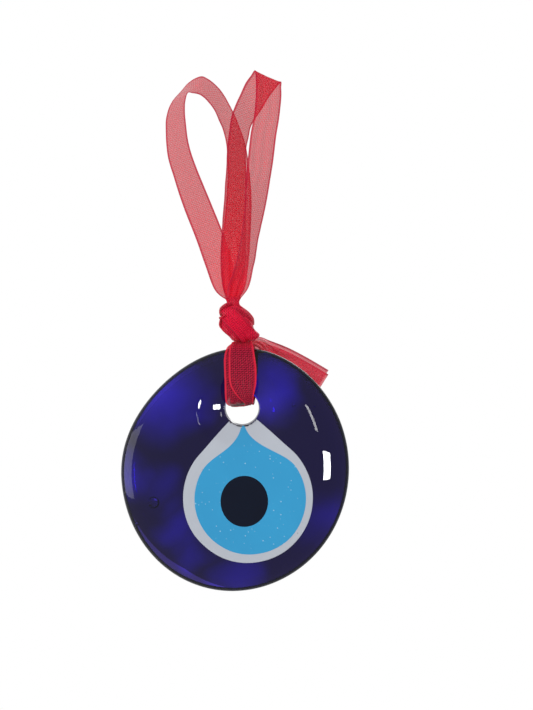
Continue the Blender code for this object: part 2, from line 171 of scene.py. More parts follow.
def ripple(points: np.ndarray, size: float, seed: float) -> np.ndarray:
    """Smooth noise from about -1 to 1 at each point.

    Args:
        points: Places in metres, one row each.
        size: Width of a bump, in metres.
        seed: Moves the pattern, so that two pieces differ.

    Returns:
        One value for each point.
    """
    offset = Vector((seed, 2.3 * seed, 5.1 * seed))
    return np.array([noise.noise(Vector(p) / size + offset) for p in points])


def mesh_object(
    name: str, points: np.ndarray, faces: Iterable[Sequence[int]], finish: bpy.types.Material
) -> bpy.types.Object:
    """Makes a smooth-shaded mesh object with its faces pointing out.

    Args:
        name: The piece's name.
        points: Vertices in metres, one row each.
        faces: Vertex numbers of each face.
        finish: Its material.

    Returns:
        The object, linked to the scene.
    """
    mesh = bpy.data.meshes.new(name)
    mesh.from_pydata(points.tolist(), [], list(faces))
    shape = bmesh.new()
    shape.from_mesh(mesh)
    bmesh.ops.recalc_face_normals(shape, faces=shape.faces)
    shape.to_mesh(mesh)
    shape.free()
    mesh.shade_smooth()
    mesh.materials.append(finish)
    piece = bpy.data.objects.new(name, mesh)
    bpy.context.scene.collection.objects.link(piece)
    return piece


def ring_faces(first: int, rings: int, around: int, closed: bool = False) -> list[tuple[int, ...]]:
    """Joins rings of vertices into a tube.

    Args:
        first: Number of the first ring's first vertex.
        rings: How many rings follow each other.
        around: Vertices in a ring.
        closed: Whether the last ring meets the first.

    Returns:
        Four vertex numbers for each face.
    """
    faces = []
    for k in range(rings if closed else rings - 1):
        here, there = first + k * around, first + (k + 1) % rings * around
        for j in range(around):
            after = (j + 1) % around
            faces.append((here + j, there + j, there + after, here + after))
    return faces


def pebble_faces(rings: int, around: int) -> list[tuple[int, ...]]:
    """Joins a point, rings of vertices and a last point into a closed skin.

    Args:
        rings: How many rings lie between the points.
        around: Vertices in a ring.

    Returns:
        Vertex numbers of each face.
    """
    last = 1 + (rings - 1) * around
    faces = ring_faces(1, rings, around)
    for j in range(around):
        after = (j + 1) % around
        faces.append((0, 1 + j, 1 + after))
        faces.append((last + j, last + around, last + after))
    return faces


def report(piece: bpy.types.Object) -> None:
    """Logs a finished piece with its face count."""
    LOG.info("%s: %d faces", piece.name, len(piece.data.polygons))


# ---------------------------------------------------------------- finishes


@dataclass(frozen=True)
class Organza:
    """Sheer woven polyester organza ribbon, as it is sold for gift tying.

    Two thin faces of the ribbon are looked through at once, so face_cover is set for one face.
    The real threads are 0.25 mm apart, which is too fine to show. They are drawn twice as coarse,
    and the diagonal glitter that such a weave gives the eye is drawn at its own width.

    Attributes:
        name: The material's name.
        lit_through: Colour with light coming through from behind.
        shaded_on_glass: Painted shade: the colour where no light comes through from behind, as where it lies
            on dark glass.
        glint: Colour of the threads that catch the light.
        selvedge: Colour of the woven edge.
        between: Painted shade in the gaps between the threads.
        face_cover: Share of the light that one face stops.
        edge_cover: The same at the selvedge.
        on_glass_cover: The same where it lies on dark glass.
        thread_pitch: Between the threads drawn, in mm.
        hatch_pitch: Between the diagonal lines, in mm.
        hatch_slope: Their slope, along for each step across.
        glint_size: Width of a glint, in mm.
        glint_reach: Noise levels where a glint starts and where it is full.
        glint_strength: How far a full glint covers the ribbon's own colour.
        selvedge_from: Where the selvedge starts, in mm from the middle.
        selvedge_blur: Width of its inner edge, in mm.
        weave_shade: How far the painted shade in the gaps of the weave darkens the ribbon.
        weave_cover: How much more the threads cover than their mean, and the gaps less.
        shadow_share: Share of the cover that blocks the lamps, since red light soaks through the layers.
        shine: Specular level of the threads.
    """

    name: str
    lit_through: str = "dc2238"
    shaded_on_glass: str = "f01c3e"
    glint: str = "ff3c50"
    selvedge: str = "cc183c"
    between: str = "3a0410"
    face_cover: float = 0.58
    edge_cover: float = 0.78
    on_glass_cover: float = 0.66
    thread_pitch: float = 0.5
    hatch_pitch: float = 0.8
    hatch_slope: float = 1.0
    glint_size: float = 0.5
    glint_reach: tuple[float, float] = (0.55, 0.72)
    glint_strength: float = 0.5
    selvedge_from: float = 2.98
    selvedge_blur: float = 0.1
    weave_shade: float = 0.22
    weave_cover: float = 0.09
    shadow_share: float = 0.05
    shine: float = 0.2

    def build(self) -> bpy.types.Material:
        """Builds the node material.

        Returns:
            The organza material.
        """
        material, shader = blank_material(self.name)
        tree = material.node_tree
        threads = add_node(tree, "ShaderNodeUVMap", uv_map=THREAD_MAP)
        axes = add_node(tree, "ShaderNodeSeparateXYZ", {0: threads.outputs[0]})
        across, along = axes.outputs[0], axes.outputs[1]
        backlight = add_node(tree, "ShaderNodeAttribute", attribute_name=BACKLIGHT).outputs["Fac"]
        weave = self.weave(tree, across, along)
        glint = self.glitter(tree, threads.outputs[0])
        edge = self.edge(tree, across)
        # painted shade: the gaps between the threads darken towards the between colour
        gaps = add_node(tree, "ShaderNodeMapRange", {0: weave, 3: self.weave_shade, 4: 0.0}).outputs[0]
        # the painted shade colour, then the painted lit-through colour, the painted shade in the gaps, the
        # painted glints and the selvedge over it
        colour = linear(self.shaded_on_glass)
        for share, over in (
            (backlight, self.lit_through),
            (gaps, self.between),
            (glint, self.glint),
            (edge, self.selvedge),
        ):
            layers = {0: share, 6: colour, 7: linear(over)}
            colour = add_node(tree, "ShaderNodeMix", layers, data_type="RGBA").outputs[2]
        tree.links.new(colour, shader.inputs["Base Color"])
        tree.links.new(self.cover(tree, weave, edge, backlight), shader.inputs["Alpha"])
        bump = add_node(tree, "ShaderNodeBump", {"Strength": 0.35, "Distance": 0.1 * MM, "Height": weave})
        tree.links.new(bump.outputs[0], shader.inputs["Normal"])
        shader.inputs["Roughness"].default_value = 0.42
        shader.inputs["Specular IOR Level"].default_value = self.shine
        shader.inputs["Sheen Weight"].default_value = 0.1
        shader.inputs["Sheen Roughness"].default_value = 0.4
        return material

    def weave(
        self, tree: bpy.types.NodeTree, across: bpy.types.NodeSocket, along: bpy.types.NodeSocket
    ) -> bpy.types.NodeSocket:
        """Draws warp and weft lines, and a diagonal hatch over them.

        Args:
            tree: The material's node tree.
            across: Place across the ribbon, in mm.
            along: Place along it, in mm.

        Returns:
            Height of the weave, from 0 to 1.
        """
        slope = {0: along, 1: self.hatch_slope, 2: across}
        diagonal = add_node(tree, "ShaderNodeMath", slope, operation="MULTIPLY_ADD").outputs[0]
        lines = ((across, self.thread_pitch), (along, self.thread_pitch), (diagonal, self.hatch_pitch))
        total = 0.0
        for line, pitch in lines:
            turn = add_node(tree, "ShaderNodeMath", {0: line, 1: math.tau / pitch}, operation="MULTIPLY")
            wave = add_node(tree, "ShaderNodeMath", {0: turn.outputs[0]}, operation="SINE").outputs[0]
            total = add_node(tree, "ShaderNodeMath", {0: total, 1: wave}, operation="ADD").outputs[0]
        reach = len(lines) / 2
        return add_node(tree, "ShaderNodeMapRange", {0: total, 1: -reach, 2: reach}).outputs[0]

    def glitter(self, tree: bpy.types.NodeTree, place: bpy.types.NodeSocket) -> bpy.types.NodeSocket:
        """Finds where single threads catch the light.

        Args:
            tree: The material's node tree.
            place: Place on the ribbon, in mm.

        Returns:
            Strength of the glint, from 0 up.
        """
        grain = {"Vector": place, "Scale": 1 / self.glint_size, "Detail": 2.0, "Roughness": 0.6}
        level = add_node(tree, "ShaderNodeTexNoise", grain).outputs[0]
        start, full = self.glint_reach
        ramp = {0: level, 1: start, 2: full, 3: 0.0, 4: self.glint_strength}
        return add_node(tree, "ShaderNodeMapRange", ramp).outputs[0]

    def edge(self, tree: bpy.types.NodeTree, across: bpy.types.NodeSocket) -> bpy.types.NodeSocket:
        """Marks the two selvedges.

        Args:
            tree: The material's node tree.
            across: Place across the ribbon, in mm.

        Returns:
            1 on the selvedges and 0 between them.
        """
        away = add_node(tree, "ShaderNodeMath", {0: across}, operation="ABSOLUTE").outputs[0]
        ramp = {0: away, 1: self.selvedge_from, 2: self.selvedge_from + self.selvedge_blur}
        return add_node(tree, "ShaderNodeMapRange", ramp).outputs[0]

    def cover(
        self,
        tree: bpy.types.NodeTree,
        weave: bpy.types.NodeSocket,
        edge: bpy.types.NodeSocket,
        backlight: bpy.types.NodeSocket,
    ) -> bpy.types.NodeSocket:
        """Works out how much of the light one face stops.

        Args:
            tree: The material's node tree.
            weave: Height of the weave.
            edge: 1 on the selvedges.
            backlight: 1 where light comes through from behind.

        Returns:
            The alpha.
        """
        by_place = {0: backlight, 3: self.on_glass_cover, 4: self.face_cover}
        plain = add_node(tree, "ShaderNodeMapRange", by_place).outputs[0]
        by_weave = {0: weave, 3: -self.weave_cover, 4: self.weave_cover}
        swing = add_node(tree, "ShaderNodeMapRange", by_weave).outputs[0]
        woven = add_node(tree, "ShaderNodeMath", {0: plain, 1: swing}, operation="ADD").outputs[0]
        by_edge = {0: edge, 2: woven, 3: self.edge_cover}
        whole = add_node(tree, "ShaderNodeMix", by_edge, data_type="FLOAT").outputs[0]
        shadow = add_node(tree, "ShaderNodeLightPath").outputs["Is Shadow Ray"]
        let_by = add_node(tree, "ShaderNodeMapRange", {0: shadow, 3: 1.0, 4: self.shadow_share}).outputs[0]
        both = {0: whole, 1: let_by}
        return add_node(tree, "ShaderNodeMath", both, operation="MULTIPLY", use_clamp=True).outputs[0]


@dataclass(frozen=True)
class CobaltGlass:
    """Cobalt glass, gathered hot and pressed by hand, left with its fire polish.

    It is clear and very deep in colour, so that its depth, and not a pigment, makes it dark. Gathers
    of paler glass are stirred through it, which show as soft curved patches of clear blue.
    """

    centre: tuple[float, float]  # x and z of the disc's centre, in metres
    deep_tint: str = "38364e"
    pale_tint: str = "6a5ff0"
    absorption: tuple[float, float, float, float] = (0.244, 0.0, 0.832, 1.0)
    density: float = 250.0
    bend_size: float = 13.0 * MM  # the stirring pushes the gathers about: the width of its swirls
    bend_reach: float = 14.0 * MM  # and how far it pushes
    feather: float = 1.25 * MM  # reach of a gather's soft edge, in metres for each mm of its radius
    # paler gathers in the dark glass: x and z in mm from the disc's centre, radius in mm, and strength
    gathers: tuple[tuple[float, float, float, float], ...] = (
        (-18.0, 18.0, 11.5, 1.0),
        (9.5, 18.0, 8.0, 1.0),
        (-18.5, -4.0, 6.5, 0.5),
        (-27.5, -1.5, 7.5, 0.9),
        (-15.0, -14.5, 6.5, 0.75),
        (-10.5, -20.5, 6.5, 0.55),
        (1.0, -26.0, 7.5, 0.5),
        (22.0, -12.0, 8.0, 0.35),
    )

    def build(self) -> bpy.types.Material:
        """Builds the node material.

        Returns:
            The cobalt glass material.
        """
        material, shader = blank_material("pressed cobalt glass")
        tree = material.node_tree
        place = add_node(tree, "ShaderNodeTexCoord").outputs["Object"]
        swirl = {"Vector": place, "Scale": 1 / self.bend_size, "Detail": 2.0}
        bend = add_node(tree, "ShaderNodeTexNoise", swirl).outputs["Color"]
        push = {0: bend, 1: (self.bend_reach, 0.0, self.bend_reach), 2: place}
        pushed = add_node(tree, "ShaderNodeVectorMath", push, operation="MULTIPLY_ADD").outputs[0]
        mean_push = self.bend_reach / 2
        clear = 0.0
        for x, z, radius, strength in self.gathers:
            middle = (self.centre[0] + x * MM + mean_push, 0.0, self.centre[1] + z * MM + mean_push)
            away = add_node(tree, "ShaderNodeVectorMath", {0: pushed, 1: middle}, operation="DISTANCE")
            fade = {0: away.outputs["Value"], 1: 0.0, 2: radius * self.feather, 3: strength, 4: 0.0}
            spot = add_node(tree, "ShaderNodeMapRange", fade, interpolation_type="SMOOTHSTEP").outputs[0]
            clear = add_node(tree, "ShaderNodeMath", {0: clear, 1: spot}, operation="MAXIMUM").outputs[0]
        tints = {0: clear, 6: linear(self.deep_tint), 7: linear(self.pale_tint)}
        tint = add_node(tree, "ShaderNodeMix", tints, data_type="RGBA").outputs[2]
        tree.links.new(tint, shader.inputs["Base Color"])
        shader.inputs["Transmission Weight"].default_value = 1.0
        shader.inputs["Roughness"].default_value = 0.01
        shader.inputs["IOR"].default_value = GLASS_IOR
        soak = {"Color": self.absorption, "Density": self.density}
        depth = add_node(tree, "ShaderNodeVolumeAbsorption", soak).outputs[0]
        tree.links.new(depth, tree.nodes["Material Output"].inputs["Volume"])
        return material


@dataclass(frozen=True)
class TrappedAir:
    """The skin of an air bubble in glass, clear so that it doesn't dye the light a second time."""

    tint: str = "ffffff"

    def build(self) -> bpy.types.Material:
        """Builds the material.

        Returns:
            The bubble skin.
        """
        material, shader = blank_material("air trapped in glass")
        shader.inputs["Base Color"].default_value = linear(self.tint)
        shader.inputs["Transmission Weight"].default_value = 1.0
        shader.inputs["Roughness"].default_value = 0.0
        shader.inputs["IOR"].default_value = GLASS_IOR
        return material


@dataclass(frozen=True)
class OpalGlass:
    """Opaque coloured glass, dropped hot onto the disc and pressed flush.

    Its body is even, with a slow drift of tone, and it holds pinhead seeds and specks of the batch.

    Attributes:
        name: The material's name.
        body: Its colour.
        drift: The tone that it drifts towards.
        speck: Colour of the specks.
        speck_spacing: Mean distance between specks, in mm.
        speck_radius: Radius of the largest specks, as a share of the spacing.
        bare_share: Share of the spaces that hold no speck.
        speck_blur: Softness of a speck's edge, as a share of the spacing.
        speck_strength: How far a speck covers the body colour.
        drift_size: Width of the drifts of tone.
        roughness: Of the polished surface.
        ior: Of the glass.
    """

    name: str
    body: str
    drift: str
    speck: str
    speck_spacing: float
    speck_radius: float
    roughness: float = 0.12
    ior: float = 1.5
    bare_share: float = 0.2
    speck_blur: float = 0.06
    speck_strength: float = 0.75
    drift_size: float = 14.0 * MM

    def build(self) -> bpy.types.Material:
        """Builds the node material.

        Returns:
            The opal glass material.
        """
        material, shader = blank_material(self.name)
        tree = material.node_tree
        place = add_node(tree, "ShaderNodeTexCoord").outputs["Object"]
        drifts = {"Vector": place, "Scale": 1 / self.drift_size, "Detail": 2.0}
        slow = add_node(tree, "ShaderNodeTexNoise", drifts).outputs[0]
        tones = {0: slow, 6: linear(self.body), 7: linear(self.drift)}
        toned = add_node(tree, "ShaderNodeMix", tones, data_type="RGBA").outputs[2]
        spaces = {"Vector": place, "Scale": 1 / (self.speck_spacing * MM)}
        cells = add_node(tree, "ShaderNodeTexVoronoi", spaces).outputs
        pick = add_node(tree, "ShaderNodeSeparateColor", {0: cells["Color"]}).outputs[0]
        sizes = {0: pick, 1: self.bare_share, 2: 1.0, 3: 0.0, 4: self.speck_radius}
        radius = add_node(tree, "ShaderNodeMapRange", sizes).outputs[0]
        spread = {0: radius, 1: cells["Distance"]}
        inside = add_node(tree, "ShaderNodeMath", spread, operation="SUBTRACT").outputs[0]
        fade = {0: inside, 1: 0.0, 2: self.speck_blur, 4: self.speck_strength}
        mask = add_node(tree, "ShaderNodeMapRange", fade).outputs[0]
        specked = {0: mask, 6: toned, 7: linear(self.speck)}
        coloured = add_node(tree, "ShaderNodeMix", specked, data_type="RGBA").outputs[2]
        tree.links.new(coloured, shader.inputs["Base Color"])
        relief = {"Strength": 0.2, "Distance": 0.05 * MM, "Height": slow}
        tree.links.new(add_node(tree, "ShaderNodeBump", relief).outputs[0], shader.inputs["Normal"])
        shader.inputs["Roughness"].default_value = self.roughness
        shader.inputs["IOR"].default_value = self.ior
        return material


# ---------------------------------------------------------------- glass


@dataclass(frozen=True)
class DropOutline:
    """A round drop of glass drawn out to a tip, in mm from the disc's centre.

    Attributes:
        centre: Middle of the round part.
        radius: Of the round part.
        left_shoulder: Angle in degrees where the round part ends on the left.
        right_shoulder: The same on the right.
        left_tip: Left corner of the tip.
        right_tip: Right corner of the tip.
        left_pull: Handle that bends the left flank into the tip.
        right_pull: The same on the right.
        reach: Length of each flank's handle along the round part's tangent.
    """

    centre: tuple[float, float]
    radius: float
    left_shoulder: float
    right_shoulder: float
    left_tip: tuple[float, float]
    right_tip: tuple[float, float]
    left_pull: tuple[float, float]
    right_pull: tuple[float, float]
    reach: float
    flank_steps: int = 24
    round_steps: int = 140
    tip_steps: int = 16

    def on_round(self, degrees: float) -> np.ndarray:
        """The direction of an angle."""
        return np.array([math.cos(math.radians(degrees)), math.sin(math.radians(degrees))])

    def flank(self, *handles: np.ndarray) -> list[np.ndarray]:
        """Samples a flank, a Bezier curve.

        Args:
            handles: Its start, two handles and its end.

        Returns:
            Points between its ends.
        """
        a, b, c, d = handles
        return [
            (1 - t) ** 3 * a + 3 * (1 - t) ** 2 * t * b + 3 * (1 - t) * t * t * c + t**3 * d
            for t in np.linspace(0.0, 1.0, self.flank_steps)[1:-1]
        ]

    def points(self) -> np.ndarray:
        """Samples the outline anticlockwise from its left tip.

        Returns:
            Points in mm from the disc's centre, one row each.
        """
        span = 360 + self.right_shoulder - self.left_shoulder
        arc = [
            np.array(self.centre) + self.on_round(self.left_shoulder + span * share) * self.radius
            for share in np.linspace(0.0, 1.0, self.round_steps)
        ]
        start = arc[0] + self.on_round(self.left_shoulder - 90) * self.reach
        end = arc[-1] + self.on_round(self.right_shoulder + 90) * self.reach
        left_tip, right_tip = np.array(self.left_tip), np.array(self.right_tip)
        shares = np.linspace(0.0, 1.0, self.tip_steps)[:-1]
        tip = [right_tip + (left_tip - right_tip) * share for share in shares]
        left = self.flank(left_tip, np.array(self.left_pull), start, arc[0])
        right = self.flank(arc[-1], end, np.array(self.right_pull), right_tip)
        return np.array([left_tip, *left, *arc, *right, *tip])


@dataclass(frozen=True)
class Bubble:
    """A bubble of air in the glass, in mm from the disc's centre.

    Attributes:
        x: To the viewer's right.
        z: Up.
        below: Depth of its middle under the front.
        radius: Its half width.
    """

    x: float
    z: float
    below: float
    radius: float


@dataclass(frozen=True)
class Swell:
    """A place where the hand-pressed rim stands out from an ellipse, or in from it.

    Attributes:
        turn: Its middle, in degrees anticlockwise from the viewer's right.
        spread: Its half width, in degrees.
        height: How far the rim stands out, in mm.
    """

    turn: float
    spread: float
    height: float


@dataclass
class GlassEye:
    """The pressed disc with its hole and dish, its bubbles, and the three fused drops.

    Attributes:
        crown: How much of the front's height is its dome.
        front_shoulder: Width of the front's rounded edge.
        back_shoulder: The same at the back.
        shoulder_power: Fullness of the rounded edge, 2 for a quarter of an ellipse.
        hole_front_radius: Of the hole's throat at the front.
        hole_back_radius: The same at the back.
        front_lip: Radius of the hole's rounded lip at the front.
        back_lip: The same at the back.
        dish_width: Width of the shallow dish round the hole.
        dish_height: Its height.
        dish_depth: Its depth.
        dish_edge: Width over which the dish runs out into the front.
        hole_bulge: How far the hole's wall is blown out in the middle.
        wave_size: Width of the slow waves of the fire polish.
        wave_height: Their height.
        wave_fade: They die out over this width at the rim.
        turn_steps: Vertices in a ring of the disc.
        ring_steps: Rings across the front, and across the back.
        wall_steps: Rings up the hole.
        white: Outline of the white drop.
        light_blue: Outline of the light blue drop.
        pupil_centre: Middle of the pupil, in mm from the disc's centre.
        pupil_size: Its width and height, in mm.
        swells: Where the rim leaves the ellipse.
        bubbles: Air trapped in the disc.
    """

    crown: float = 0.5 * MM
    front_shoulder: float = 16.0 * MM
    back_shoulder: float = 5.0 * MM
    shoulder_power: float = 2.2
    hole_front_radius: float = 4.4 * MM
    hole_back_radius: float = 4.2 * MM
    front_lip: float = 0.4 * MM
    back_lip: float = 0.6 * MM
    dish_width: float = 24.0 * MM
    dish_height: float = 20.0 * MM
    dish_depth: float = 3.0 * MM
    dish_edge: float = 0.8 * MM
    hole_bulge: float = 0.18 * MM
    wave_size: float = 11.0 * MM
    wave_height: float = 0.05 * MM
    wave_fade: float = 3.0 * MM
    turn_steps: int = 288
    ring_steps: int = 72
    wall_steps: int = 14
    white: DropOutline = DropOutline(
        (3.3, -7.4), 16.4, 138, 48, (-1.0, 12.4), (5.4, 12.5), (-4.1, 9.3), (9.2, 9.4), 2.5
    )
    light_blue: DropOutline = DropOutline(
        (3.9, -7.6), 14.1, 150, 35, (1.8, 11.4), (2.3, 11.4), (0.6, 4.6), (3.7, 5.2), 5.0
    )
    pupil_centre: tuple[float, float] = (2.4, -8.2)
    pupil_size: tuple[float, float] = (12.0, 12.9)
    swells: tuple[Swell, ...] = (Swell(128, 58, -2.0), Swell(237, 65, 0.6))
    bubbles: tuple[Bubble, ...] = (
        Bubble(-20.5, -8.6, 2.6, 1.5),
        Bubble(-24.4, -13.9, 3.0, 0.5),
        Bubble(-24.1, -15.8, 3.2, 0.35),
        Bubble(14.8, 16.0, 1.6, 0.45),
        Bubble(18.9, 14.7, 1.8, 0.4),
        Bubble(-8.3, 17.6, 1.6, 0.22),
        Bubble(-16.5, -4.0, 2.5, 0.2),
        Bubble(9.6, 21.5, 2.2, 0.2),
    )

    def __post_init__(self) -> None:
        """Takes the disc's size and place, and the hole's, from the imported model."""
        low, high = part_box("glass_body")
        turn = next(j for j in frame["joints"] if j["name"] == "glass_turn")
        self.centre = np.array([(low.x + high.x) / 2, (low.z + high.z) / 2])
        self.half_width = (high.x - low.x) / 2
        self.half_height = (high.z - low.z) / 2
        self.back_rise = high.y
        self.hole = np.array([turn["pos_m"][0], turn["pos_m"][2]]) - self.centre

    def round_distance(self, plan: np.ndarray) -> np.ndarray:
        """Distance from the disc's centre as if the disc were round, with its height as diameter.

        Args:
            plan: Places in metres from the disc's centre.

        Returns:
            Distances in metres.
        """
        turn = np.degrees(np.arctan2(plan[:, 1], plan[:, 0]))
        share = np.ones(len(plan))
        for swell in self.swells:
            away = np.clip(((turn - swell.turn + 180) % 360 - 180) / swell.spread, -1.0, 1.0)
            share += swell.height * MM / self.half_height * np.cos(away * math.pi / 2) ** 2
        return np.hypot(plan[:, 0] * self.half_height / self.half_width, plan[:, 1]) / share

    def rise(self, plan: np.ndarray, top: float, crown: float, shoulder: float) -> np.ndarray:
        """Height over the middle plane of a domed face with a rounded edge.

        Args:
            plan: Places in metres from the disc's centre.
            top: Height in the middle.
            crown: How much of it is the dome.
            shoulder: Width of the rounded edge.

        Returns:
            Heights in metres.
        """
        rim, power = self.half_height, self.shoulder_power
        out = np.minimum(self.round_distance(plan), rim)
        share = np.clip((rim - out) / shoulder, 0.0, 1.0)
        dome = top - crown + crown * (1 - (out / rim) ** 2)
        return dome * (1 - (1 - share) ** power) ** (1 / power)

    def front(self, plan: np.ndarray) -> np.ndarray:
        """Height of the front over the middle plane, with the dish but without the hole's lip.

        Args:
            plan: Places in metres from the disc's centre.

        Returns:
            Heights in metres.
        """
        plain = self.rise(plan, FRONT_RISE, self.crown, self.front_shoulder)
        half = self.dish_width / 2
        bowl = (half**2 + self.dish_depth**2) / (2 * self.dish_depth)
        away = plan - self.hole
        flat = np.hypot(away[:, 0], away[:, 1] * self.dish_width / self.dish_height)
        floor = FRONT_RISE - self.dish_depth
        dish = floor + bowl - np.sqrt(bowl**2 - np.minimum(flat, bowl * 0.9) ** 2)
        near = np.clip(0.5 + 0.5 * (plain - dish) / self.dish_edge, 0.0, 1.0)
        lower = plain * (1 - near) + dish * near - self.dish_edge * near * (1 - near)
        waves = ripple(np.column_stack([plan, plan[:, 0] * 0]), self.wave_size, 3.0) * self.wave_height
        fade = np.clip((self.half_height - self.round_distance(plan)) / self.wave_fade, 0.0, 1.0)
        return lower + waves * fade

    def over_lip(self, plan: np.ndarray) -> np.ndarray:
        """Lays points of the front on the glass, rolled over the hole's lip where they meet it.

        Args:
            plan: Places in metres from the disc's centre.

        Returns:
            Rows of x, y and z in metres.
        """
        away = plan - self.hole
        out = np.maximum(np.hypot(away[:, 0], away[:, 1]), 1e-9)
        ring = self.hole_front_radius + self.front_lip
        share = np.clip((ring - out) / self.front_lip, 0.0, 1.0)
        kept = np.maximum(out, self.hole_front_radius)
        moved = self.hole + away / out[:, None] * kept[:, None]
        level = self.front(np.where((out < ring)[:, None], self.hole + away / out[:, None] * ring, plan))
        level = level - self.front_lip * (1 - np.sqrt(1 - share**2))
        level = level - np.clip(self.hole_front_radius - out, 0.0, 1.5 * MM) * 0.6
        return self.placed(moved, level)

    def placed(self, plan: np.ndarray, height: np.ndarray) -> np.ndarray:
        """Turns places on the disc and heights towards the viewer into points of the frame."""
        return np.column_stack([plan[:, 0] + self.centre[0], -height, plan[:, 1] + self.centre[1]])

    def rays(self) -> tuple[np.ndarray, np.ndarray]:
        """Casts rays out of the hole's centre to the rim.

        Returns:
            Their directions, and how far the rim is along each.
        """
        turns = np.linspace(0.0, math.tau, self.turn_steps, endpoint=False)
        ways = np.column_stack([np.cos(turns), np.sin(turns)])
        size = np.array([self.half_width, self.half_height])
        a = ((ways / size) ** 2).sum(1)
        b = 2 * (ways * self.hole / size**2).sum(1)
        c = ((self.hole / size) ** 2).sum() - 1
        reach = (-b + np.sqrt(b * b - 4 * a * c)) / (2 * a)
        # from the ellipse to the swollen rim, each step halving what is left
        for _ in range(14):
            reach = reach * self.half_height / self.round_distance(self.hole + ways * reach[:, None])
        return ways, reach

    def body_rings(self) -> list[np.ndarray]:
        """Lays rings round the hole: out over the front, round the rim, in over the back, up the hole.

        Returns:
            The rings' points in metres.
        """
        ways, reach = self.rays()
        # closer together towards the rim, where the disc curves most
        outward = 1 - (1 - np.linspace(0.0, 1.0, self.ring_steps)) ** 2.4
        rings = []
        start = self.hole_front_radius + self.front_lip
        for share in outward:
            plan = self.hole + ways * (start + (reach - start) * share)[:, None]
            rings.append(self.placed(plan, self.front(plan)))
        start = self.hole_back_radius + self.back_lip
        for share in outward[-2::-1]:
            plan = self.hole + ways * (start + (reach - start) * share)[:, None]
            level = -self.rise(plan, self.back_rise, 0.0, self.back_shoulder)
            rings.append(self.placed(plan, level))
        lip_turns = np.linspace(0.0, math.pi / 2, 9)[1:]
        for turn in lip_turns:
            radius = start - self.back_lip * math.sin(turn)
            level = -self.back_rise + self.back_lip * (1 - math.cos(turn))
            rings.append(self.placed(self.hole + ways * radius, np.full(len(ways), level)))
        ring_radius = self.hole_front_radius + self.front_lip
        lip_level = self.front(self.hole + ways * ring_radius)
        wall_end = lip_level - self.front_lip
        wall_start = -self.back_rise + self.back_lip
        taper = self.hole_front_radius - self.hole_back_radius
        for share in np.linspace(0.0, 1.0, self.wall_steps)[1:-1]:
            radius = self.hole_back_radius + taper * share + self.hole_bulge * math.sin(math.pi * share)
            level = wall_start + (wall_end - wall_start) * share
            rings.append(self.placed(self.hole + ways * radius, level))
        for turn in lip_turns[::-1]:
            radius = ring_radius - self.front_lip * math.sin(turn)
            level = lip_level - self.front_lip * (1 - math.cos(turn))
            rings.append(self.placed(self.hole + ways * radius, level))
        return rings

    def build_body(self, finish: bpy.types.Material) -> bpy.types.Object:
        """Builds the disc with its bubbles.

        Args:
            finish: The cobalt glass.

        Returns:
            The glass body.
        """
        rings = self.body_rings()
        faces = ring_faces(0, len(rings), self.turn_steps, closed=True)
        piece = mesh_object("glass_body_visual", np.vstack(rings), faces, finish)
        piece.data.materials.append(TrappedAir().build())
        shape = bmesh.new()
        shape.from_mesh(piece.data)
        for bubble in self.bubbles:
            plan = np.array([[bubble.x, bubble.z]]) * MM
            middle = self.placed(plan, self.front(plan) - bubble.below * MM)[0]
            made = bmesh.ops.create_uvsphere(shape, u_segments=32, v_segments=20, radius=bubble.radius * MM)
            bmesh.ops.scale(shape, vec=(1.0, 0.5, 1.0), verts=made["verts"])  # pressed flat with the disc
            bmesh.ops.translate(shape, vec=Vector(middle), verts=made["verts"])
            skin = {face for vert in made["verts"] for face in vert.link_faces}
            bmesh.ops.reverse_faces(shape, faces=list(skin))
            for face in skin:
                face.material_index = 1
        shape.to_mesh(piece.data)
        shape.free()
        piece.data.shade_smooth()
        return piece

    def build_drop(
        self, name: str, outline: np.ndarray, centre: Sequence[float], layer: int, finish: bpy.types.Material
    ) -> bpy.types.Object:
        """Builds one drop as a closed lens that lies flush in the front.

        Args:
            name: The piece's name.
            outline: Its outline in mm from the disc's centre.
            centre: A point in mm that sees the whole outline.
            layer: 0 for the lowest drop.
            finish: Its glass.

        Returns:
            The drop.
        """
        middle = np.array(centre)
        proud = (0.04 + 0.045 * layer) * MM
        flush = proud - 0.03 * MM
        depth = (3.0 - 0.9 * layer) * MM
        away = outline - middle
        wobble = 1 + 0.006 * ripple(np.column_stack([outline, outline[:, 0] * 0]), 7.0, 1.7 + layer)
        edge = middle + away * wobble[:, None]
        shares = np.sin(np.linspace(0.0, math.pi / 2, 26))[1:]
        tops, unders = [], []
        for share in shares:
            plan = (middle + (edge - middle) * share) * MM
            lift = flush + (proud - flush) * (1 - share**24)
            top = self.over_lip(plan)
            top[:, 1] -= lift
            tops.append(top)
            under = top.copy()
            under[:, 1] += depth * math.sqrt(max(1 - share**4, 0.0))
            unders.append(under)
        peak = self.over_lip(middle[None, :] * MM)
        peak[:, 1] -= proud
        points = [peak, *tops, *unders[-2::-1], peak + np.array([[0.0, depth, 0.0]])]
        return mesh_object(name, np.vstack(points), pebble_faces(len(points) - 2, len(outline)), finish)

    def pupil_outline(self) -> np.ndarray:
        """Draws the pupil, a slightly tall round.

        Returns:
            Points in mm from the disc's centre.
        """
        turns = np.linspace(0.0, math.tau, 160, endpoint=False)
        half = np.array(self.pupil_size) / 2
        return np.array(self.pupil_centre) + np.column_stack([np.cos(turns), np.sin(turns)]) * half

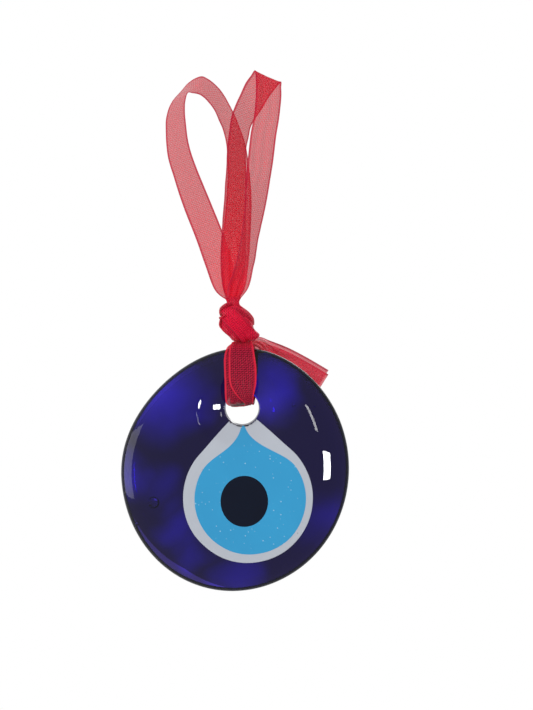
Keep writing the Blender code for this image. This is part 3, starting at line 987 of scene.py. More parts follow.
    def build(self) -> None:
        """Builds and dresses the four glasses."""
        body = self.build_body(CobaltGlass(tuple(self.centre)).build())
        white = self.build_drop(
            "white_drop_visual",
            self.white.points(),
            self.white.centre,
            0,
            OpalGlass("white opal glass", "c8cdd6", "c0c5ce", "8d8a90", 1.6, 0.14).build(),
        )
        blue = self.build_drop(
            "light_blue_drop_visual",
            self.light_blue.points(),
            self.light_blue.centre,
            1,
            OpalGlass("light blue opal glass", "3ba9dd", "389fd3", "a8d8ea", 0.9, 0.24).build(),
        )
        pupil = self.build_drop(
            "pupil_visual",
            self.pupil_outline(),
            self.pupil_centre,
            2,
            OpalGlass("near-black blue glass", "040a1e", "041228", "1c4c70", 2.2, 0.08, 0.06, 1.42).build(),
        )
        for piece, node, slot in (
            (body, "glass_body", Slot.COBALT),
            (white, "white_drop", Slot.WHITE),
            (blue, "light_blue_drop", Slot.LIGHT_BLUE),
            (pupil, "pupil", Slot.DARK),
        ):
            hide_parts(node)
            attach(piece, Body.GLASS.value)
            report(piece)


# ---------------------------------------------------------------- ribbon


@dataclass(frozen=True)
class Rung:
    """One line across the ribbon: its middle in mm, how it is turned, and its share of full width.

    Attributes:
        x: Middle of the line.
        y: Middle of the line.
        z: Middle of the line.
        heading: Turn in the XZ plane from +X, in degrees.
        lean: How far its far end tips back, in degrees.
        gather: Its width as a share of the flat ribbon's.
    """

    x: float
    y: float
    z: float
    heading: float
    lean: float
    gather: float

    def row(self, half_width: float) -> np.ndarray:
        """Turns the line into numbers that a curve can run through.

        Args:
            half_width: Half the flat ribbon's width, in metres.

        Returns:
            The middle and the half line, as six numbers in metres, with the gather after them.
        """
        heading, lean = math.radians(self.heading), math.radians(self.lean)
        half = np.array(
            [math.cos(heading) * math.cos(lean), math.sin(lean), math.sin(heading) * math.cos(lean)]
        )
        reach = half * half_width * self.gather
        return np.array([self.x * MM, self.y * MM, self.z * MM, *reach, self.gather])


@dataclass
class Ribbon:
    """One stretch of the ribbon, lofted through rungs.

    Where the ribbon is drawn narrower than it is woven, it stands in pleats that take up the rest.

    Attributes:
        name: The piece's name.
        rungs: Lines across it, in order.
        finish: Its material.
        shift: Added to each rung's middle, in metres.
        pleats: Folds across the width where it is gathered.
        curl: How far the selvedges curl out of its plane, in metres.
        wrinkle: Depth of its shallow wrinkles, in metres.
        pleat_limit: Greatest depth of a pleat, in metres.
        backlight: Light from behind at a point's row of x, y and z, from 0 to 1.
        seed: Moves its wrinkles.
        closed: Whether the last rung meets the first.
        width: Of the flat ribbon.
        thickness: Of its sheer middle.
        selvedge_thickness: Of its woven edges.
        steps: Rows for each span between rungs.
    """

    name: str
    rungs: Sequence[Rung]
    finish: bpy.types.Material
    shift: Sequence[float] = (0.0, 0.0, 0.0)
    pleats: float = 3.0
    curl: float = 0.15 * MM
    wrinkle: float = 0.12 * MM
    pleat_limit: float = 0.55 * MM
    backlight: Callable[[np.ndarray], np.ndarray] | None = None
    seed: float = 0.0
    closed: bool = False
    width: float = 7.0 * MM
    thickness: float = 0.1 * MM
    selvedge_thickness: float = 0.2 * MM
    steps: int = 14

    def centreline(self) -> np.ndarray:
        """The path that the ribbon's middle follows, in metres."""
        return self.rows()[:, :3]

    def rows(self) -> np.ndarray:
        """Runs the ribbon through its rungs.

        Returns:
            Fine rows of middle, half line and gather.
        """
        rows = np.array([rung.row(self.width / 2) for rung in self.rungs])
        if self.closed:
            wrapped = np.vstack([rows[-3:], rows, rows[:3]])
            fine = smooth_path(wrapped, self.steps)
            fine = fine[3 * self.steps : (3 + len(rows)) * self.steps]
        else:
            fine = smooth_path(rows, self.steps)
        fine[:, :3] += np.array(self.shift)
        return fine

    def stations(self) -> np.ndarray:
        """Places across the ribbon from -1 to 1, closer together at the selvedges."""
        inner = np.linspace(-0.9, 0.9, 41)
        return np.array([-1.0, -0.985, -0.95, *inner, 0.95, 0.985, 1.0])

    def build(self) -> bpy.types.Object:
        """Builds the closed thin strip with its thread map.

        Returns:
            The ribbon piece.
        """
        rows = self.rows()
        middle, half, gather = rows[:, :3], rows[:, 3:6], np.clip(rows[:, 6], 0.2, 1.05)
        along = np.gradient(middle, axis=0)
        if self.closed:
            along = np.roll(middle, -1, axis=0) - np.roll(middle, 1, axis=0)
        along /= np.linalg.norm(along, axis=1)[:, None]
        out = np.cross(along, half)
        out /= np.maximum(np.linalg.norm(out, axis=1)[:, None], 1e-12)
        travel = np.concatenate([[0.0], np.cumsum(np.linalg.norm(np.diff(middle, axis=0), axis=1))])
        across = self.stations()
        narrow = gather * self.width
        swell = narrow * np.sqrt(np.maximum(1 / gather - 1, 0.0)) / (math.pi * self.pleats)
        swell = np.minimum(swell, self.pleat_limit)
        meander = 0.5 * np.array([noise.noise(Vector((s / (6 * MM), self.seed, 0.0))) for s in travel])
        phase = math.pi * self.pleats * (across[None, :] + 1) + (meander * 4 + self.seed)[:, None]
        lift = swell[:, None] * np.sin(phase)
        lift += self.curl * np.abs(across[None, :]) ** 3 * np.sign(math.sin(self.seed + 1.0))
        place = middle[:, None, :] + half[:, None, :] * across[None, :, None]
        wave = ripple(place.reshape(-1, 3), 5 * MM, self.seed).reshape(lift.shape)
        fine = ripple(place.reshape(-1, 3), 1.6 * MM, self.seed + 9).reshape(lift.shape)
        lift += self.wrinkle * (wave + 0.3 * fine)
        centre = place + out[:, None, :] * lift[:, :, None]
        thick = np.where(np.abs(across) > 0.9, self.selvedge_thickness, self.thickness) / 2
        thick[0] = thick[-1] = 0.02 * MM
        sheet_out = np.cross(np.gradient(centre, axis=0), np.gradient(centre, axis=1))
        sheet_out /= np.maximum(np.linalg.norm(sheet_out, axis=2, keepdims=True), 1e-12)
        points = np.stack(
            [centre + sheet_out * thick[None, :, None], centre - sheet_out * thick[None, :, None]]
        )
        return self.skin(points, travel, across)

    def skin(self, points: np.ndarray, travel: np.ndarray, across: np.ndarray) -> bpy.types.Object:
        """Joins the two sides of the strip into one closed skin.

        Args:
            points: Two sides, rows along, stations across, x y z.
            travel: Distance along the ribbon at each row.
            across: Stations from -1 to 1.

        Returns:
            The ribbon piece.
        """
        _, count, wide, _ = points.shape
        numbers = np.arange(2 * count * wide).reshape(2, count, wide)
        if self.closed:
            numbers = np.concatenate([numbers, numbers[:, :1]], axis=1)
        upper, under = numbers.tolist()
        faces = []
        for k in range(len(upper) - 1):
            for j in range(wide - 1):
                faces.append((upper[k][j], upper[k + 1][j], upper[k + 1][j + 1], upper[k][j + 1]))
                faces.append((under[k][j], under[k][j + 1], under[k + 1][j + 1], under[k + 1][j]))
            for j in (0, wide - 1):
                faces.append((upper[k][j], under[k][j], under[k + 1][j], upper[k + 1][j]))
        for k in () if self.closed else (0, count - 1):
            for j in range(wide - 1):
                faces.append((upper[k][j], upper[k][j + 1], under[k][j + 1], under[k][j]))
        flat = points.reshape(-1, 3)
        piece = mesh_object(self.name, flat, faces, self.finish)
        threads = np.empty((2, count, wide, 2))
        threads[..., 0] = across * self.width / 2 / MM
        threads[..., 1] = travel[None, :, None] / MM
        threads = threads.reshape(-1, 2)
        layer = piece.data.uv_layers.new(name=THREAD_MAP)
        corners = np.empty(len(piece.data.loops), dtype=np.int64)
        piece.data.loops.foreach_get("vertex_index", corners)
        layer.data.foreach_set("uv", threads[corners].ravel())
        light = np.ones(len(flat)) if self.backlight is None else self.backlight(flat)
        attribute = piece.data.attributes.new(BACKLIGHT, "FLOAT", "POINT")
        attribute.data.foreach_set("value", light.astype(np.float32))
        return piece


@dataclass
class HangingLoops:
    """The two loops for the hook."""

    finish: bpy.types.Material
    # up the left limb, edge-on over its shoulder, and down on the right
    left: tuple[Rung, ...] = (
        Rung(-0.9, 0.8, -58.1, 0, 0, 0.47),
        Rung(-2.4, 1.3, -55.0, 15, 0, 0.85),
        Rung(-4.5, 2.0, -48.0, 22, 0, 1),
        Rung(-6.7, 1.4, -41.7, 19, 0, 1),
        Rung(-10.0, 0.8, -33.5, 19, -11, 1),
        Rung(-12.8, 0.3, -26.0, 19, -27, 1),
        Rung(-14.5, 0.0, -20.4, 15, -32, 1),
        Rung(-15.1, 0.0, -15.0, 6, -40, 1),
        Rung(-15.2, 0.0, -11.2, 6, -47, 1),
        Rung(-14.5, 0.0, -7.9, 0, -59, 1),
        Rung(-13.0, 0.0, -5.5, -27, -72, 1),
        Rung(-11.3, 0.0, -4.3, -75, -60, 1),
        Rung(-9.0, 0.0, -3.8, -93, -43, 1),
        Rung(-7.4, 0.0, -4.5, -101, -41, 1),
        Rung(-5.6, 0.0, -6.1, -107, -41, 1),
        Rung(-3.9, 0.2, -8.3, -115, -43, 1),
        Rung(-2.2, 0.6, -11.6, -140, -50, 1),
        Rung(-0.8, 1.2, -14.9, -163, -52, 1),
        Rung(0.4, 1.9, -19.5, -171, -46, 1),
        Rung(1.0, 2.2, -26.2, -180, -37, 1),
        Rung(1.0, 2.0, -33.3, -180, -22, 1),
        Rung(0.6, 1.6, -39.7, -180, -11, 1),
        Rung(0.1, 1.0, -47.1, -180, 0, 1),
        Rung(-0.2, 0.6, -54.6, -180, 0, 0.82),
        Rung(-0.7, 0.27, -58.1, -180, 0, 0.47),
    )
    # up on the right, over a slanting crease, and down on the left
    right: tuple[Rung, ...] = (
        Rung(-0.3, -0.8, -58.1, 0, 0, 0.47),
        Rung(0.9, -0.75, -55.0, 0, 0, 0.75),
        Rung(2.5, -2.4, -49.1, 0, 49, 1),
        Rung(3.7, -3.2, -42.7, -8, 52, 1),
        Rung(4.8, -3.2, -36.4, -8, 45, 1),
        Rung(5.5, -2.8, -30.3, -7, 33, 1),
        Rung(6.4, -2.0, -23.7, -7, 15, 0.95),
        Rung(7.2, -1.4, -16.8, -5, 0, 0.93),
        Rung(8.0, -1.2, -12.2, -3, 0, 0.92),
        Rung(8.5, -1.2, -7.1, -3, 0, 0.93),
        Rung(8.5, -1.2, -3.6, -18, 0, 0.97),
        Rung(8.3, -0.8, -1.8, -24, 0, 1.05),
        Rung(7.0, -0.4, -3.3, -32, 0, 1),
        Rung(5.6, -0.4, -5.3, -32, 12, 1),
        Rung(4.2, -0.4, -8.0, -32, 22, 1),
        Rung(2.7, -0.4, -10.8, -28, 33, 1),
        Rung(1.6, -0.5, -13.4, -20, 41, 1),
        Rung(1.0, -0.6, -16.9, 0, 44, 1),
        Rung(0.5, -0.8, -20.6, 0, 48, 1),
        Rung(0.4, -0.85, -26.7, 0, 43, 1),
        Rung(0.1, -0.8, -34.4, 0, 36, 1),
        Rung(-0.3, -0.5, -42.0, 0, 29, 1),
        Rung(-0.5, -0.2, -48.9, 0, 5, 0.92),
        Rung(-0.6, -0.1, -55.0, 0, 0, 0.75),
        Rung(-0.5, -0.27, -58.1, 0, 0, 0.47),
    )
    twist_from: float = -0.032  # a height on the limbs, in metres

    def light(self, points: np.ndarray) -> np.ndarray:
        """How much light comes through: all of it high up, and less where the limbs are drawn together."""
        return np.clip(1 + (points[:, 2] + 0.03) / 0.045, 0.3, 1.0)

    def build(self, with_pieces: Sequence[bpy.types.Object]) -> None:
        """Args:
            with_pieces: The rest of the ribbon. Not used.
        """
        for name, rungs, seed, others in (
            ("left_loop", self.left, 0.4, with_pieces),
            ("right_loop", self.right, 2.6, ()),
        ):
            ribbon = Ribbon(name + "_visual", rungs, self.finish, seed=seed, backlight=self.light)
            piece = ribbon.build()
            path = ribbon.centreline()
            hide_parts(name)
            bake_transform(piece)
            report(piece)


@dataclass
class KnotAndBail:
    """The gathered neck, the crumpled knot, and the two windings that carry the glass."""

    tied: bpy.types.Material
    wound: bpy.types.Material
    slant: float = math.radians(-47.0)  # the way the pleats run, down to the right
    bail_x: float = 1.9 * MM
    seat_rise: float = 1.2 * MM
    # silhouette of the knot from the front, in mm from its centre, clockwise from the neck's right
    outline: tuple[tuple[float, float], ...] = (
        (-0.3, 4.3), (0.3, 3.2), (1.5, 2.2), (3.0, 1.0), (3.4, 0.1), (3.8, -1.7),
        (5.1, -3.0), (4.9, -3.9), (3.4, -4.8), (0.6, -5.1), (-1.5, -4.8), (-2.6, -3.7), (-4.2, -2.3),
        (-4.9, -1.1), (-4.8, 0.4), (-4.4, 1.7), (-4.8, 2.7), (-4.3, 3.6), (-3.4, 4.2), (-1.8, 4.6),
    )

    # each small fold: its name, its middle in mm from the knot's centre, its lean, its width and its seed
    folds: tuple[tuple[str, tuple[tuple[float, float, float], ...], float, float, float], ...] = (
        (
            "knot_fold_upper_right",
            ((-0.8, -1.3, 4.0), (0.3, -2.3, 2.9), (1.7, -2.7, 1.7), (2.8, -1.8, 0.4), (3.0, 0.0, -0.8)),
            25.0, 0.36, 3.0,
        ),
        (
            "knot_fold_upper_left",
            ((-1.6, -1.6, 4.5), (-3.2, -1.8, 4.0), (-4.3, -1.0, 3.0), (-4.2, 0.2, 2.0), (-3.0, 0.6, 1.3)),
            50.0, 0.3, 5.0,
        ),
        (
            "knot_fold_left",
            (
                (-3.2, -1.8, 1.4), (-4.2, -1.6, 0.5), (-4.4, -1.0, -0.8),
                (-3.3, -0.6, -2.1), (-2.0, -1.2, -3.4)
            ),
            45.0, 0.32, 7.0,
        ),
        (
            "knot_fold_over_neck",
            ((-2.8, -1.0, 2.6), (-1.6, -2.7, 3.0), (0.0, -3.0, 2.4), (1.6, -2.6, 1.2), (2.6, -1.2, 0.2)),
            10.0, 0.3, 9.0,
        ),
    )

    def __post_init__(self) -> None:
        """Takes the knot's place and the glass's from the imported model."""
        low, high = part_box("knot_core")
        self.knot_low, self.knot_high = low, high
        self.knot_centre = (low + high) / 2
        glass_low, glass_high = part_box("glass_body")
        self.rim_top = glass_high.z
        self.waist = low.z - 0.3 * MM
        self.back = glass_high.y
        turn = next(j for j in frame["joints"] if j["name"] == "glass_turn")
        self.hole_z = turn["pos_m"][2]

    def dress(self, piece: bpy.types.Object, *nodes: str) -> bpy.types.Object:
        """Hides the parts that a piece stands for, and logs it."""
        if nodes:
            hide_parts(*nodes)
        report(piece)
        return piece

    def build_core(self) -> bpy.types.Object:
        """Builds the crumpled body of the knot, ridged along its slant.

        Returns:
            The piece.
        """
        outline = np.array([*self.outline, self.outline[0]])
        edge = smooth_path(np.vstack([outline[-3:-1], outline, outline[1:3]]), 14)[2 * 14 : -2 * 14 - 1]
        depth = (self.knot_high.y - self.knot_low.y) / 2
        across = np.array([-math.sin(self.slant), math.cos(self.slant)])
        rings, sides = [], (1.0, -1.0)
        shares = np.sin(np.linspace(0.0, math.pi / 2, 44))[1:]
        for side in sides:
            for share in shares if side > 0 else shares[-2::-1]:
                plan = edge * share
                bulge = depth * (1 - share**2.6) ** 0.55
                ridge = np.abs(np.sin(plan @ across * math.pi / 0.62 + 0.9 * side))
                flat = np.column_stack([plan, plan[:, 0] * 0 + side * 3]) * MM
                lump = ripple(flat, 2.6 * MM, 4.0) * 0.5 * MM
                crumple = ripple(flat, 0.9 * MM, 8.0) * 0.22 * MM
                inner = min(1.0, (1 - share) * 6)
                height = bulge + (0.22 * MM * ridge + lump + crumple) * inner
                rings.append(
                    np.column_stack(
                        [
                            plan[:, 0] * MM + self.knot_centre.x,
                            -side * height,
                            plan[:, 1] * MM + self.knot_centre.z,
                        ]
                    )
                )
        around = len(edge)
        centre = np.array([[self.knot_centre.x, 0.0, self.knot_centre.z]])
        points = np.vstack([centre - [[0, depth, 0]], *rings, centre + [[0, depth, 0]]])
        faces = pebble_faces(len(rings), around)
        piece = mesh_object("knot_core_visual", points, faces, self.tied)
        self.map_threads(piece)
        return piece

    def map_threads(self, piece: bpy.types.Object) -> None:
        """Lays the thread map along the knot's slant, and marks the piece as lit from behind."""
        layer = piece.data.uv_layers.new(name=THREAD_MAP)
        points = np.array([v.co for v in piece.data.vertices]) - np.array(self.knot_centre)
        along = np.array([math.cos(self.slant), 0.0, math.sin(self.slant)])
        up = np.array([-math.sin(self.slant), 0.0, math.cos(self.slant)])
        threads = np.column_stack([np.mod(points @ up / MM, 5.6) - 2.8, points @ along / MM])
        corners = np.empty(len(piece.data.loops), dtype=np.int64)
        piece.data.loops.foreach_get("vertex_index", corners)
        layer.data.foreach_set("uv", threads[corners].ravel())
        attribute = piece.data.attributes.new(BACKLIGHT, "FLOAT", "POINT")
        attribute.data.foreach_set("value", np.ones(len(points), dtype=np.float32))

    def build_wrap(self) -> bpy.types.Object:
        """Builds the pleated turn of ribbon that crosses the knot along its slant.

        Returns:
            The piece.
        """
        depth = (self.knot_high.y - self.knot_low.y) / 2 + 0.55 * MM
        rungs = []
        slant = self.slant
        across = math.degrees(slant) + 90
        for k in range(16):
            turn = math.tau * k / 16
            reach = 0.5 + 4.4 * math.cos(turn)
            drift = -0.9 + 0.3 * math.sin(turn)
            x = self.knot_centre.x / MM + reach * math.cos(slant) - drift * math.sin(slant)
            z = self.knot_centre.z / MM + reach * math.sin(slant) + drift * math.cos(slant)
            y = -depth / MM * math.sin(turn)
            rungs.append(Rung(x, y, z, across + 4 * math.cos(turn), 0, 0.63))
        ribbon = Ribbon(
            "knot_wrap_visual", rungs, self.tied, pleats=8.0, seed=1.3, closed=True,
            curl=-0.35 * MM, steps=10,
        )
        return ribbon.build()

    def build_fold(
        self, name: str, path: Sequence[tuple[float, float, float]], lean: float, gather: float, seed: float
    ) -> bpy.types.Object:
        """Builds a small fold of ribbon that stands out of the knot.

        Args:
            name: The piece's name.
            path: Its middle in mm from the knot's centre.
            lean: How far its far edge tips back, in degrees.
            gather: Its width as a share of the ribbon's.
            seed: Moves its wrinkles.

        Returns:
            The fold.
        """
        centre = self.knot_centre / MM
        rungs = []
        for k, (x, y, z) in enumerate(path):
            before, after = path[max(k - 1, 0)], path[min(k + 1, len(path) - 1)]
            heading = math.degrees(math.atan2(after[2] - before[2], after[0] - before[0])) + 90
            share = gather * (0.7 + 0.3 * math.sin(math.pi * k / (len(path) - 1)))
            rungs.append(Rung(centre.x + x, y, centre.z + z, heading, lean, share))
        return Ribbon(
            name, rungs, self.wound, pleats=1.0, pleat_limit=0.12 * MM, wrinkle=0.1 * MM, seed=seed,
            curl=0.1 * MM, steps=8,
        ).build()

    def build_neck(self) -> bpy.types.Object:
        """Builds the gathered stretch between the loops and the knot.

        Returns:
            The piece.
        """
        low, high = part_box("gathered_neck")
        top, bottom = high.z - 0.1 * MM, self.knot_high.z - 1.2 * MM
        middle, half = (low.x + high.x) / 2, (high.x - low.x) / 2
        around, rows = 96, 26
        turns = np.linspace(0.0, math.tau, around, endpoint=False)
        rings = []
        for k in range(rows):
            share = k / (rows - 1)
            z = top + (bottom - top) * share
            waist = 0.28 * math.sin(math.pi * min(share * 1.15, 1.0))
            width = half * (1.12 - waist + 0.5 * max(share - 0.7, 0))
            pleat = 1 + 0.13 * np.sin(turns * 9 + 1.2 * share) + 0.06 * np.sin(turns * 17 - 2 * share)
            depth = width * 0.74
            rings.append(
                np.column_stack(
                    [
                        middle + np.cos(turns) * width * pleat,
                        np.sin(turns) * depth * pleat,
                        np.full(around, z),
                    ]
                )
            )
        faces = [tuple(range(around)), tuple((rows - 1) * around + j for j in reversed(range(around)))]
        faces += ring_faces(0, rows, around)
        piece = mesh_object("gathered_neck_visual", np.vstack(rings), faces, self.tied)
        self.map_threads(piece)
        return piece

    def winding(self, layer: int) -> list[Rung]:
        """A U of ribbon from the waist, down the front, through the hole and up the back.

        Args:
            layer: 0 lies on the glass. 1 lies over it, and its left edge folds in as it enters the hole.

        Returns:
            Its rungs.
        """
        seat = self.hole_z + self.seat_rise
        front, back = FRONT_RISE + 0.5 * MM, self.back + 0.5 * MM
        half_way = (self.rim_top + seat) / 2 - 0.8 * MM
        clear = (self.waist - self.rim_top) * 0.4
        # y, z and the turn of the line across, then the left and right edge from the bail's middle in mm
        route = [
            (-0.5 * MM, self.waist, 0, (-2.1, 2.3), (-2.0, 2.2)),
            (-1.5 * MM, self.rim_top + clear, 0, (-2.9, 2.5), (-2.5, 2.5)),
            (-0.74 * front, self.rim_top - 0.6 * MM, 0, (-4.0, 2.5), (-3.2, 2.8)),
            (-0.9 * front, self.rim_top - 2.9 * MM, 0, (-4.6, 2.5), (-3.45, 3.2)),
            (-0.97 * front, self.rim_top - 5.5 * MM, 0, (-4.6, 2.4), (-3.45, 3.55)),
            (-front, half_way, 0, (-4.5, 2.4), (-3.4, 3.6)),
            (-0.99 * front, seat + 4.4 * MM, 3, (-4.45, 2.3), (-2.9, 3.45)),
            (-0.97 * front, seat + 2.2 * MM, 6, (-4.4, 2.3), (-1.3, 2.95)),
            (-0.82 * front, seat + 0.7 * MM, 8, (-4.2, 2.4), (0.5, 2.7)),
            (-0.48 * front, seat + 0.1 * MM, 10, (-3.6, 2.7), (0.4, 2.9)),
            (0.0, seat, 10, (-3.3, 2.9), (-1.5, 3.0)),
            (0.6 * back, seat + 0.1 * MM, 8, (-3.1, 3.1), (-3.1, 3.1)),
            (0.95 * back, seat + 0.75 * MM, 4, (-3.2, 3.2), (-3.2, 3.2)),
            (1.02 * back, seat + 2.6 * MM, 0, (-3.3, 3.4), (-3.5, 3.3)),
            (back, half_way, 0, (-3.2, 3.7), (-3.8, 3.2)),
            (back, self.rim_top - 5.0 * MM, 0, (-3.2, 3.7), (-3.8, 3.2)),
            (0.93 * back, self.rim_top - 2.7 * MM, 0, (-3.1, 3.7), (-3.7, 3.1)),
            (0.74 * back, self.rim_top - 0.7 * MM, 0, (-2.9, 3.3), (-3.3, 2.9)),
            (1.5 * MM, self.rim_top + clear, 0, (-2.6, 2.8), (-2.8, 2.6)),
            (0.5 * MM, self.waist, 0, (-2.2, 2.3), (-2.3, 2.2)),
        ]
        rungs = []
        for k, (y, z, heading, *edges) in enumerate(route):
            before, after = route[max(k - 1, 0)], route[min(k + 1, len(route) - 1)]
            along = Vector((after[0] - before[0], after[1] - before[1])).normalized()
            pitch = 0.5 * MM * layer
            if k in (0, len(route) - 1):
                along = Vector((0.0, math.copysign(1.0, y)))
                pitch = 0.75 * MM * layer
            left, right = edges[layer]
            rungs.append(
                Rung(
                    self.bail_x / MM + (left + right) / 2,
                    (y + along.y * pitch) / MM,
                    (z - along.x * pitch) / MM,
                    heading,
                    0,
                    min((right - left) / 7.0, 1.02),
                )
            )
        return rungs

    def shaded_on_glass(self, points: np.ndarray) -> np.ndarray:
        """How much light comes through from behind: all above the rim, and little on the glass, where the
        ribbon takes its painted shade colour.
        """
        return np.clip((points[:, 2] - (self.rim_top - 1.2 * MM)) / (1.6 * MM), 0.0, 1.0)

    def build(self) -> list[bpy.types.Object]:
        """Builds and dresses every piece.

        Returns:
            The pieces.
        """
        pieces = [
            self.dress(self.build_core(), "knot_core"),
            self.dress(self.build_wrap(), "knot_wrap"),
            *(self.dress(self.build_fold(*fold)) for fold in self.folds),
        ]
        for layer, name in enumerate(("bail_inner_winding", "bail_outer_winding")):
            ribbon = Ribbon(
                name + "_visual",
                self.winding(layer),
                self.wound,
                pleats=4.0,
                curl=0.0,
                wrinkle=0.07 * MM,
                pleat_limit=0.09 * MM,
                seed=2.0 + layer,
                backlight=self.shaded_on_glass,
                steps=10,
            )
            pieces.append(self.dress(ribbon.build(), name))
        for piece in pieces:
            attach(piece, Body.KNOT.value)
        neck = self.dress(self.build_neck(), "gathered_neck")
        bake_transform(neck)
        return [*pieces, neck]


@dataclass
class Tail:
    """The two cut ends, which leave the knot at its lower right and pass behind the rim."""

    finish: bpy.types.Material
    rungs: tuple[Rung, ...] = (
        Rung(-1.6, -1.6, 1.6, -100, 0, 0.3),
        Rung(0.8, -1.0, 0.8, -105, 0, 0.42),
        Rung(2.7, 0.4, -1.1, -108, 0, 0.72),
        Rung(6.6, 1.2, -3.5, -112, 0, 0.95),
        Rung(11.2, 1.5, -6.1, -119, 0, 1),
        Rung(16.3, 1.6, -9.1, -122, 0, 1),
    )
    step_back: tuple[float, float, float] = (0.0, 0.5 * MM, -1.1 * MM)

    def build(self) -> list[bpy.types.Object]:
        """Builds both ends.

        Returns:
            The pieces.
        """
        bail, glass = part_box("bail_inner_winding")[1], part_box("glass_body")[1]
        root = np.array([bail.x, glass.y, glass.z])
        pieces = []
        for name, shift, seed in (
            ("tail_front_end", root, 0.8),
            ("tail_back_end", root + np.array(self.step_back), 1.9),
        ):
            ribbon = Ribbon(
                name + "_visual", self.rungs, self.finish, shift=shift, seed=seed,
                pleats=3.0, curl=0.05 * MM, wrinkle=0.06 * MM,
            )
            piece = ribbon.build()
            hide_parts(name)
            piece.visible_transmission = False  # it would stand dark in the glass of the rim
            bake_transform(piece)
            report(piece)
            pieces.append(piece)
        return pieces


# ---------------------------------------------------------------- studio


@dataclass(frozen=True)
class Highlight:
    """A lamp placed so that its reflection falls at one place on the glass.

    Attributes:
        name: What it stands for.
        x: Where its reflection falls, in mm from the disc's centre.
        z: The same, up.
        width: Width of the lamp, in metres.
        height: Height of the lamp, in metres.
        power: In watts.
    """

    name: str
    x: float
    z: float
    width: float
    height: float
    power: float


@dataclass(frozen=True)
class SoftLamp:
    """A large soft lamp that faces the charm.

    Attributes:
        name: The lamp's name.
        place: Where it stands, in metres.
        size: Its width and height, in metres.
        power: In watts.
        mirrored: Whether the glass mirrors it.
    """

    name: str
    place: tuple[float, float, float]
    size: tuple[float, float]
    power: float
    mirrored: bool = True


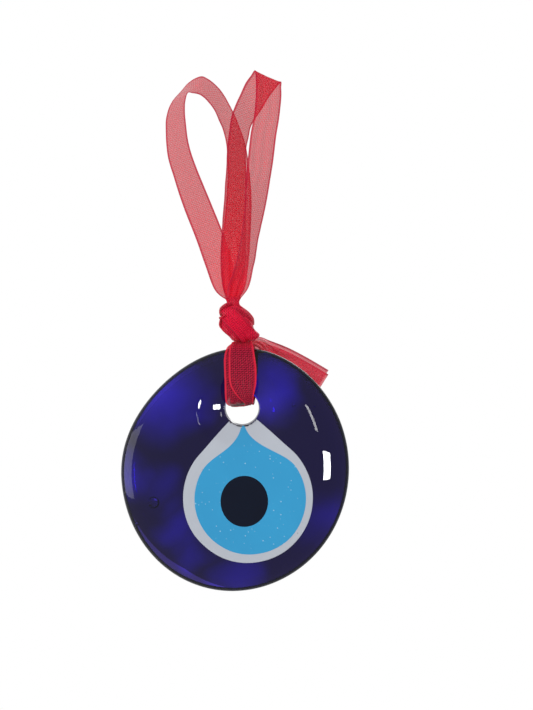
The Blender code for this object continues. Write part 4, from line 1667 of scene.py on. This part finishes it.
@dataclass
class Studio:
    """White sweep, pale floor, soft lamps and the camera."""

    lens: float = 119.6
    distance: float = 0.6
    aim: tuple[float, float] = (0.008, -0.0725)
    lamp_distance: float = 1.5
    front_level: float = 0.28
    back_level: float = 0.62
    left_share: float = 1.4
    right_share: float = 0.9
    # the glass doesn't mirror the ceiling lamp or the floor, so that its rim stays dark
    soft_lamps: tuple[SoftLamp, ...] = (
        SoftLamp("ceiling", (-0.3, -0.9, 1.3), (2.6, 2.0), 13.5, mirrored=False),
        SoftLamp("left_wall", (-1.5, -0.7, 0.0), (1.1, 1.0), 5.5),
        SoftLamp("back_wall", (0.6, 1.4, 0.7), (1.0, 1.0), 6.0),
    )
    highlights: tuple[Highlight, ...] = (
        Highlight("window", 23.4, 0.6, 0.2, 0.2, 4.7),
        Highlight("window_above", 19.5, 13.0, 0.05, 0.2, 0.25),
    )

    def build_camera(self) -> bpy.types.Object:
        """Stands the camera square in front of the charm.

        Returns:
            The camera.
        """
        data = bpy.data.cameras.new("camera")
        data.lens = self.lens
        data.sensor_width = 36.0
        data.clip_start, data.clip_end = 0.01, 20.0
        camera = bpy.data.objects.new("camera", data)
        camera.location = (self.aim[0], -self.distance, self.aim[1])
        camera.rotation_euler = (math.pi / 2, 0.0, 0.0)
        bpy.context.scene.collection.objects.link(camera)
        bpy.context.scene.camera = camera
        return camera

    def build_world(self) -> None:
        """A white background, and a dimmer room that the glass mirrors and the ribbon is lit by."""
        world = bpy.data.worlds.new("studio")
        world.use_nodes = True
        tree = world.node_tree
        tree.nodes.clear()
        way = add_node(tree, "ShaderNodeSeparateXYZ", {0: add_node(tree, "ShaderNodeTexCoord").outputs[0]})
        # the wall behind is paler than the room in front, and the clear glass shows it
        level = add_node(
            tree,
            "ShaderNodeMapRange",
            {0: way.outputs[1], 1: -0.2, 2: 0.5, 3: self.front_level, 4: self.back_level},
        )
        side = add_node(
            tree,
            "ShaderNodeMapRange",
            {0: way.outputs[0], 1: -0.8, 2: 0.8, 3: self.left_share, 4: self.right_share},
        )
        lit = add_node(tree, "ShaderNodeMath", {0: level.outputs[0], 1: side.outputs[0]}, operation="MULTIPLY")
        room = add_node(
            tree, "ShaderNodeBackground", {"Color": (0.95, 0.96, 1.0, 1.0), "Strength": lit.outputs[0]}
        )
        sweep = add_node(tree, "ShaderNodeBackground", {"Color": (1.0, 1.0, 1.0, 1.0), "Strength": 1.0})
        path = add_node(tree, "ShaderNodeLightPath")
        mixed = add_node(
            tree,
            "ShaderNodeMixShader",
            {0: path.outputs["Is Camera Ray"], 1: room.outputs[0], 2: sweep.outputs[0]},
        )
        add_node(tree, "ShaderNodeOutputWorld", {0: mixed.outputs[0]})
        bpy.context.scene.world = world

    def build_floor(self) -> None:
        """A plain pale floor under the charm."""
        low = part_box("glass_body")[0]
        size, level = 0.45, low.z - 0.11
        corners = np.array(
            [(-size, -size, level), (size, -size, level), (size, size, level), (-size, size, level)]
        )
        material, shader = blank_material("painted board")
        shader.inputs["Base Color"].default_value = linear("f2f2f0")
        shader.inputs["Roughness"].default_value = 0.7
        floor = mesh_object("floor", corners, [(0, 1, 2, 3)], material)
        floor.visible_glossy = False

    def lamp(
        self, name: str, place: Vector, target: Vector, size: tuple[float, float], power: float
    ) -> bpy.types.Object:
        """Adds a rectangular lamp that faces a point.

        Args:
            name: The lamp's name.
            place: Where it stands.
            target: What it faces.
            size: Its width and height, in metres.
            power: In watts.

        Returns:
            The lamp.
        """
        data = bpy.data.lights.new(name, "AREA")
        data.shape = "RECTANGLE"
        data.size, data.size_y = size
        data.energy = power
        lamp = bpy.data.objects.new(name, data)
        lamp.location = place
        lamp.rotation_euler = (target - place).to_track_quat("-Z", "Y").to_euler()
        lamp.visible_camera = False
        bpy.context.scene.collection.objects.link(lamp)
        return lamp

    def build_highlight(self, eye: GlassEye, mark: Highlight) -> None:
        """Places a lamp where the glass mirrors it to the camera from the highlight's place.

        Args:
            eye: The glass, for its front.
            mark: The highlight.
        """
        step = 0.05 * MM
        plan = np.array([[mark.x, mark.z]]) * MM
        spots = []
        for aside in ((0, 0), (step, 0), (0, step)):
            near = plan + np.array([aside])
            spots.append(eye.placed(near, eye.front(near))[0])
        normal = Vector(np.cross(spots[1] - spots[0], spots[2] - spots[0])).normalized()
        spot = Vector(spots[0])
        view = (bpy.context.scene.camera.location - spot).normalized()
        if normal.dot(view) < 0:
            normal.negate()
        mirrored = 2 * normal.dot(view) * normal - view
        place = spot + mirrored * self.lamp_distance
        self.lamp(mark.name, place, spot, (mark.width, mark.height), mark.power)

    def build_lamps(self, eye: GlassEye) -> None:
        """Adds the soft lamps and the window.

        Args:
            eye: The glass that mirrors the window.
        """
        middle = Vector((0.0, 0.0, self.aim[1]))
        for soft in self.soft_lamps:
            lamp = self.lamp(soft.name, Vector(soft.place), middle, soft.size, soft.power)
            lamp.visible_glossy = soft.mirrored
        for mark in self.highlights:
            self.build_highlight(eye, mark)

    def set_colour(self) -> None:
        """Plain colour management, and enough see-through bounces for the layered ribbon."""
        scene = bpy.context.scene
        scene.view_settings.view_transform = "Standard"
        scene.cycles.transparent_max_bounces = 48
        scene.cycles.max_bounces = 24
        scene.cycles.transmission_bounces = 20


def main() -> None:
    """Builds the charm and its studio in order."""
    logging.basicConfig(level=logging.INFO, format="%(name)s: %(message)s")
    studio = Studio()
    studio.build_camera()
    sheer = Organza("red organza ribbon").build()
    tied = Organza(
        "red organza ribbon, tied",
        lit_through="ff1244",
        shaded_on_glass="ff1244",
        selvedge="c80f36",
        glint="ff2a44",
        face_cover=0.94,
        edge_cover=0.97,
        on_glass_cover=0.94,
        weave_shade=0.5,
        shadow_share=0.7,
    ).build()
    wound = Organza(
        "red organza ribbon, wound",
        lit_through="ea1640",
        # painted shade of the winding where it lies on the dark glass
        shaded_on_glass="c41a40",
        selvedge="f02444",
        face_cover=0.8,
        on_glass_cover=0.76,
        weave_shade=0.75,
        thread_pitch=0.54,
        hatch_pitch=0.9,
        hatch_slope=1.3,
        shadow_share=0.45,
        shine=0.18,
    ).build()
    knot = KnotAndBail(tied, wound).build()
    cut = Organza(
        "red organza ribbon, cut end",
        lit_through="ee3a54",
        selvedge="cc2040",
        hatch_slope=2.2,
        face_cover=0.64,
    ).build()
    tails = Tail(cut).build()
    HangingLoops(sheer).build([*knot, *tails])
    eye = GlassEye()
    eye.build()
    studio.build_world()
    studio.build_floor()
    studio.build_lamps(eye)
    studio.set_colour()
    bpy.context.view_layer.update()


if __name__ == "__main__":
    main()
